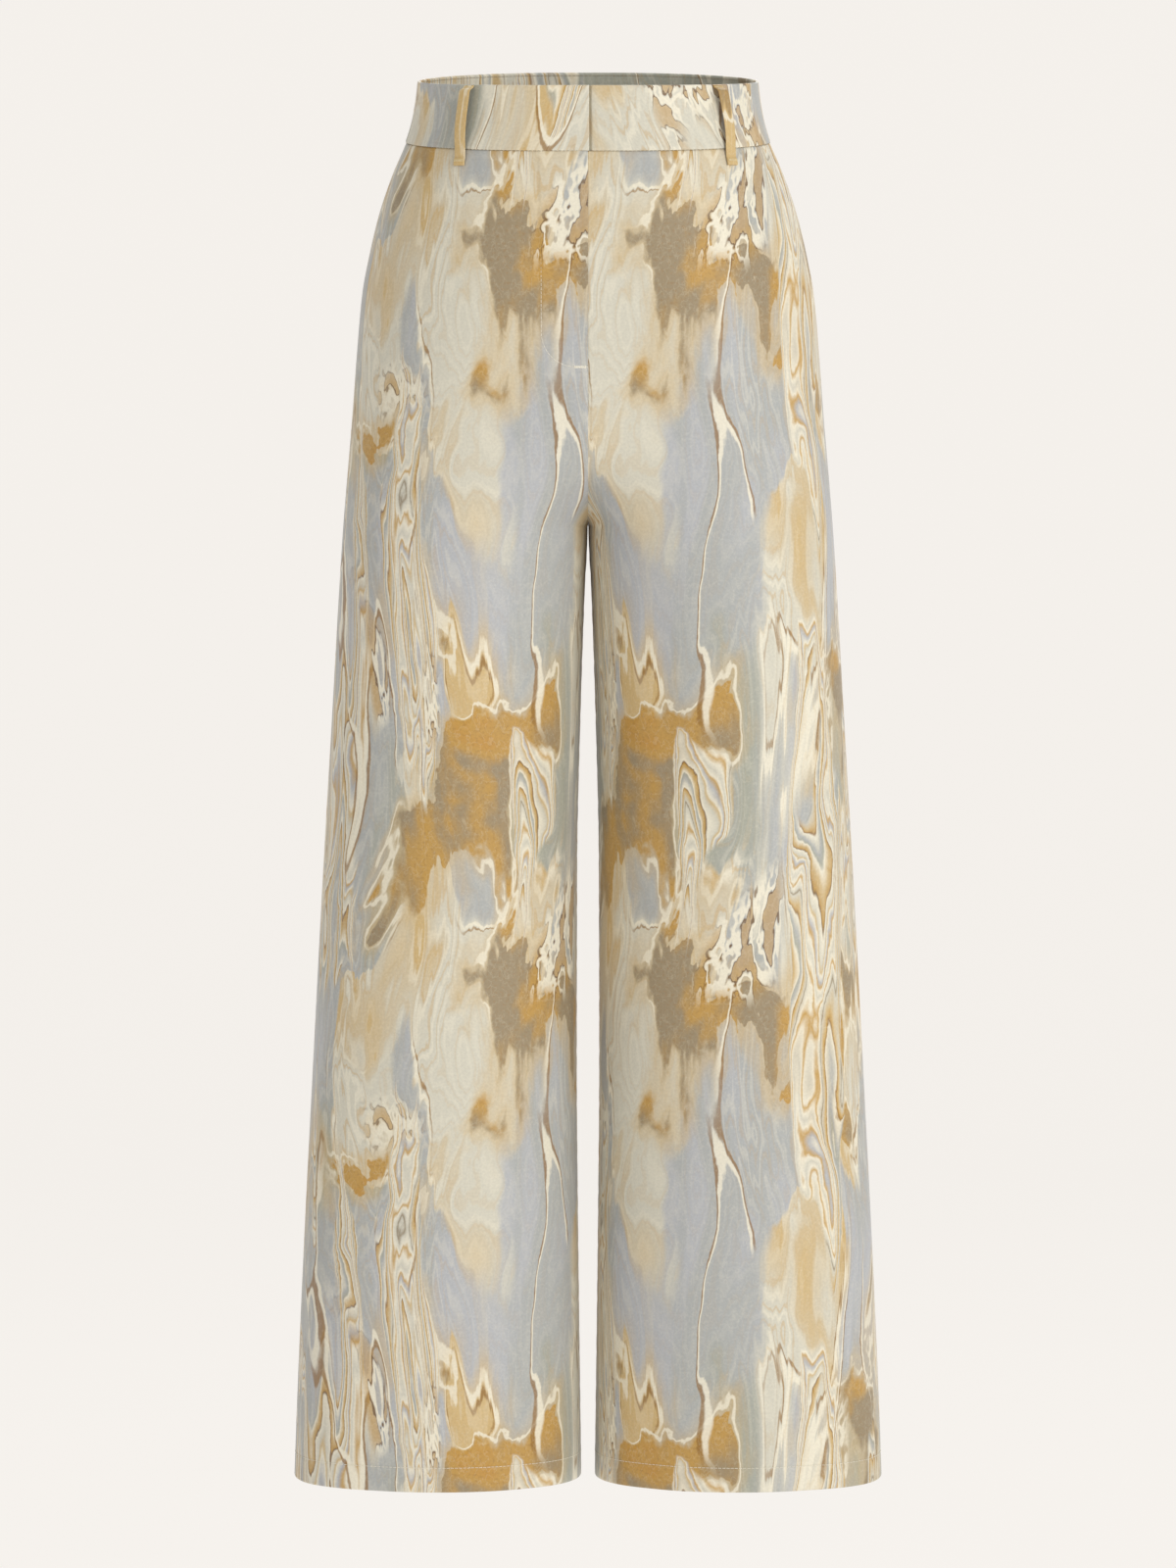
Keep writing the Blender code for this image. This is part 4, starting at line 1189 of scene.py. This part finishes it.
def slider():
    """The slider's wedge and its pierced tab, laid on the fronts' form."""
    shape = bmesh.new()
    rings = []
    for row in SLIDER_ROWS:
        size = dict(zip(SLIDER_COLUMNS, row))
        z = ZIP_TOP + size["up"]
        x = ZIP_CENTRE + size["half"] * np.array((-1, 0, 1, 1, 0, -1))
        offset = np.array([size["front"]] * 3 + [size["behind"]] * 3)
        rings.append([shape.verts.new(p) for p in on_fronts(z, x, offset)])
    for above, below in zip(rings, rings[1:]):
        for i in range(len(above)):
            j = (i + 1) % len(above)
            shape.faces.new((above[i], above[j], below[j], below[i]))
    for ring in (rings[0], rings[-1]):
        shape.faces.new(ring[:2] + ring[4:])
        shape.faces.new(ring[1:5])
    around = np.linspace(0, 2 * math.pi, TAB_CORNERS + 1)[:-1]
    middle = ZIP_TOP - TAB_LENGTH / 2 - TAB_DROP
    rim_x = TAB_HALF * signed_power(np.cos(around), TAB_ROUND[0])
    rim_z = middle + TAB_LENGTH / 2 * signed_power(np.sin(around), TAB_ROUND[1])
    hole_x = TAB_HOLE * np.cos(around)
    hole_middle = ZIP_TOP - TAB_LENGTH + TAB_HOLE_UP
    hole_z = hole_middle + TAB_HOLE * TAB_HOLE_LONG * np.sin(around)
    loops = []
    for x, z in ((rim_x, rim_z), (hole_x, hole_z)):
        for offset in (TAB_FACE, TAB_FACE - TAB_WALL):
            points = on_fronts(z, ZIP_CENTRE + x, offset)
            loops.append([shape.verts.new(p) for p in points])
    rim_front, rim_behind, hole_front, hole_behind = loops
    for i in range(TAB_CORNERS):
        j = (i + 1) % TAB_CORNERS
        shape.faces.new((rim_front[i], rim_front[j], rim_behind[j], rim_behind[i]))
        shape.faces.new((hole_front[j], hole_front[i], hole_behind[i], hole_behind[j]))
        shape.faces.new((rim_front[j], rim_front[i], hole_front[i], hole_front[j]))
        shape.faces.new((rim_behind[i], rim_behind[j], hole_behind[j], hole_behind[i]))
    bmesh.ops.recalc_face_normals(shape, faces=shape.faces)
    mesh = bpy.data.meshes.new("zip_slider_metal")
    shape.to_mesh(mesh)
    shape.free()
    mesh.materials.append(brushed_metal("zip_metal"))
    piece = placed("zip_slider_metal", mesh)
    bevel = piece.modifiers.new("softened edges", "BEVEL")
    bevel.width, bevel.segments, bevel.limit_method = METAL_EDGE, 2, "ANGLE"
    return piece


zip_slider = slider()
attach(zip_slider, "root")
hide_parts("zip_slider")

# ---------------------------------------------------------------- the stitching
# Lockstitch in fine polyester thread: white round both hems, along the fly's curve and in the dense
# bar at the fly's foot, taupe in the ditch under the waistband and along the inside of its top edge,
# and dense sand-coloured bars where the belt loops are tacked down.

STITCH_PITCH = 0.0030
STITCH_LENGTH = 0.0023
THREAD = 0.00036
THREAD_SUNK = 0.00006
FINE_STEP = 0.0010
FROM_SEAM = 0.0015         # how far from a seam a row of stitches ends
ABOVE = 0.001              # how far off the surface a row's second line runs
# about where the fly lies on the right front: its angle, and its distance from the side seam
FLY_PLACE = np.array([-1.6]), np.array([0.2])


def hem_row(side, face):
    row_z = HEM + HEM_STITCH
    run = ring_run(row_z, face)
    width = run.lengths[-1] - 2 * SEAM_CLEAR
    from_centre = np.arange(FROM_SEAM, width - FROM_SEAM, FINE_STEP)
    angle = np.interp(from_centre + SEAM_CLEAR, run.lengths, run.angles)
    z = np.full(len(angle), row_z)
    offset = cloth_offset(row_z, z, angle, from_centre, width - from_centre, side, face)
    surface = offset + THREAD / 2 - THREAD_SUNK
    return row_on(form_point(z, angle, side, surface), form_point(z, angle, side, surface + ABOVE))


def fly_row(x, z):
    """A row on the right front, through these distances from the centre and heights."""
    angle, from_side = FLY_PLACE
    offsets = [
        cloth_offset(high, np.array([high]), angle, np.array([away]), from_side, -1, -1)[0]
        for away, high in zip(x, z)
    ]
    surface = np.array(offsets) + THREAD / 2 - THREAD_SUNK
    return row_on(on_fronts(z, -x, surface), on_fronts(z, -x, surface + ABOVE))


white_thread = spun_thread("white_thread", "#F6F3E8", "#E2DCC8")
taupe_thread = spun_thread("taupe_thread", "#9C8B6E", "#7E6E54")
sand_thread = spun_thread("sand_thread", "#E6D3A8", "#CDB988")

hem_rows = [hem_row(side, face) for side in (-1, 1) for face in (-1, 1)]
laid_rods("hem_stitching", hem_rows, white_thread, STITCH_PITCH, STITCH_LENGTH, THREAD)
laid_rods(
    "fly_stitching", [fly_row(*fly_line())], white_thread, STITCH_PITCH, STITCH_LENGTH, THREAD
)

BAR_PITCH = 0.00042
BAR_THREAD = 0.00040
FLY_BAR_LENGTH, LOOP_BAR_LENGTH = 0.0019, 0.0017
FLY_BAR = (0.0016, 0.0098)         # from here to here, as distances from the centre
LOOP_BARS = (0.026, 0.945)         # how far down a loop its two bars lie, as shares of its length
LOOP_BAR_HALF = 0.42               # as a share of the loop's width

bar_x = np.linspace(*FLY_BAR, 20)
bar = fly_row(bar_x, np.full_like(bar_x, FLY_FOOT))
upright = bar._replace(lie=np.tile((0.15, 0.0, 1.0), (len(bar_x), 1)))
laid_rods("fly_bar_tack", [upright], white_thread, BAR_PITCH, FLY_BAR_LENGTH, BAR_THREAD)

DITCH_DEPTH = 0.00075
DITCH_STITCH = 0.0020
EDGE_STITCH_DOWN = 0.0022
inside_face = BAND_PROUD - BAND_WALL - THREAD / 2 + THREAD_SUNK
band_rows, edge_rows = [], []
for node, stations_at, *_ in BAND_PIECES:
    for rows, down, length, face_offset, out in (
        (band_rows, 1.0, 0.0, BAND_PROUD - DITCH_DEPTH, 1),
        (edge_rows, 0.0, EDGE_STITCH_DOWN, inside_face, -1),
    ):
        stations = stations_at(WAIST_SEAM["side"] * down)
        if node == "waistband_front_left" and down == 1.0:
            under_lap = LAP_STATIONS + EXTENSION_STATIONS
            stations = Stations(*[column[:-under_lap] for column in stations])
        points = band_place(stations, down, length, face_offset)
        above = band_place(stations, down, length, face_offset + ABOVE * out)
        rows.append(row_on(points, above))
laid_rods("waist_seam_stitching", band_rows, taupe_thread, STITCH_PITCH, DITCH_STITCH, THREAD)
laid_rods("waist_edge_stitching", edge_rows, taupe_thread, STITCH_PITCH, STITCH_LENGTH, THREAD)

loop_bars = []
for node, row in LOOPS.items():
    loop = dict(zip(LOOP_TABLE_COLUMNS, row))
    across = np.linspace(-LOOP_BAR_HALF, LOOP_BAR_HALF, 12) * LOOP_WIDTH
    for share in LOOP_BARS:
        points = loop_row(loop, share, across)[0]
        above = loop_row(loop, share, across, lift=ABOVE)[0]
        along = loop_row(loop, share + 0.01, across)[0] - points
        loop_bars.append(row_on(points, above, along))
laid_rods("loop_bar_tacks", loop_bars, sand_thread, BAR_PITCH, LOOP_BAR_LENGTH, BAR_THREAD)

# ---------------------------------------------------------------- the studio
# A plain pale floor that curves up into a wall all round, soft light from large panels, and a
# camera level with the top of the thighs, as the garment was photographed.

FLOOR_Z = -1.50
FLOOR_SIDES = 96
# its section: how far out from the middle, and how far up
FLOOR_PROFILE = (
    (0.02, 0.0), (2.0, 0.0), (4.0, 0.0), (6.0, 0.0), (7.0, 0.03), (7.8, 0.18), (8.4, 0.5),
    (8.8, 1.0), (9.0, 1.7), (9.05, 2.6), (9.05, 4.2),
)
around = np.linspace(0, 2 * math.pi, FLOOR_SIDES + 1)[:-1]
floor_points = [
    (reach * math.cos(turn), reach * math.sin(turn), FLOOR_Z + up)
    for reach, up in FLOOR_PROFILE for turn in around
]
floor_faces = []
for i in range(0, len(floor_points) - FLOOR_SIDES, FLOOR_SIDES):
    for j in range(FLOOR_SIDES):
        k = (j + 1) % FLOOR_SIDES
        floor_faces.append((i + j, i + k, i + FLOOR_SIDES + k, i + FLOOR_SIDES + j))
floor_faces.append(tuple(range(FLOOR_SIDES - 1, -1, -1)))
floor_mesh = bpy.data.meshes.new("studio_floor")
floor_mesh.from_pydata(floor_points, [], floor_faces)
floor_mesh.shade_smooth()
studio_floor = placed("studio_floor", floor_mesh)
paper, paper_tree, paper_shader = blank_material("studio_paper")
paper_place = add(paper_tree, "ShaderNodeTexCoord", {}, output=3)
paper_grain = cloud(paper_tree, paper_place, 3.0, 2.0, 1.0)
paper_colour = mix(paper_tree, paper_grain, paint("#454443"), paint("#494847"))
paper_tree.links.new(paper_colour, paper_shader.inputs["Base Color"])
paper_shader.inputs["Roughness"].default_value = 1.0
paper_shader.inputs["Specular IOR Level"].default_value = 0.0
paper_shader.inputs["Emission Color"].default_value = paint("#F7F3EE")
paper_shader.inputs["Emission Strength"].default_value = 0.929
paper.cycles.emission_sampling = "NONE"
floor_mesh.materials.append(paper)


def soft_panel(name, place, aim_z, size, power, colour):
    """A square panel of light, aimed at the garment's middle line at this height."""
    light = bpy.data.lights.new(name, "AREA")
    light.shape, light.size = "SQUARE", size
    light.energy = power
    light.color = paint(colour)[:3]
    lamp = placed(name, light)
    lamp.location = place
    away = np.array((0.0, 0.0, aim_z)) - np.array(place)
    lamp.rotation_euler = Vector(away.tolist()).to_track_quat("-Z", "Y").to_euler()


# name, place, the height that it is aimed at, size, power and colour
for panel in (
    ("key_light", (2.7, -3.3, 0.9), -0.45, 2.2, 97.0, "#FFFFFE"),
    ("fill_light", (-3.0, -3.4, 0.6), -0.5, 2.4, 9.0, "#FDFEFF"),
    ("top_light", (0.0, 0.6, 2.6), -0.4, 2.0, 30.0, "#FFFFFF"),
    ("back_light", (0.5, 3.6, 2.0), -0.5, 2.0, 62.0, "#FFFFFF"),
):
    soft_panel(*panel)

world = bpy.data.worlds.new("studio")
world.use_nodes = True
sky = world.node_tree.nodes["Background"]
sky.inputs["Color"].default_value = paint("#F4F4F4")
sky.inputs["Strength"].default_value = 0.35
bpy.context.scene.world = world
bpy.context.scene.view_settings.view_transform = "Standard"

CAMERA_AWAY = 4.5
CAMERA_HEIGHT = -0.288
PICTURE_CENTRE = -0.519
PICTURE_HEIGHT = 1.163
SENSOR = 36.0
camera_data = bpy.data.cameras.new("camera")
camera_data.sensor_width = SENSOR
tilt = math.atan((PICTURE_CENTRE - CAMERA_HEIGHT) / CAMERA_AWAY)
camera_data.lens = SENSOR * (CAMERA_AWAY / math.cos(tilt)) / PICTURE_HEIGHT
camera = placed("camera", camera_data)
camera.location = (0.0, -CAMERA_AWAY, CAMERA_HEIGHT)
camera.rotation_euler = (math.pi / 2 + tilt, 0.0, 0.0)
bpy.context.scene.camera = camera
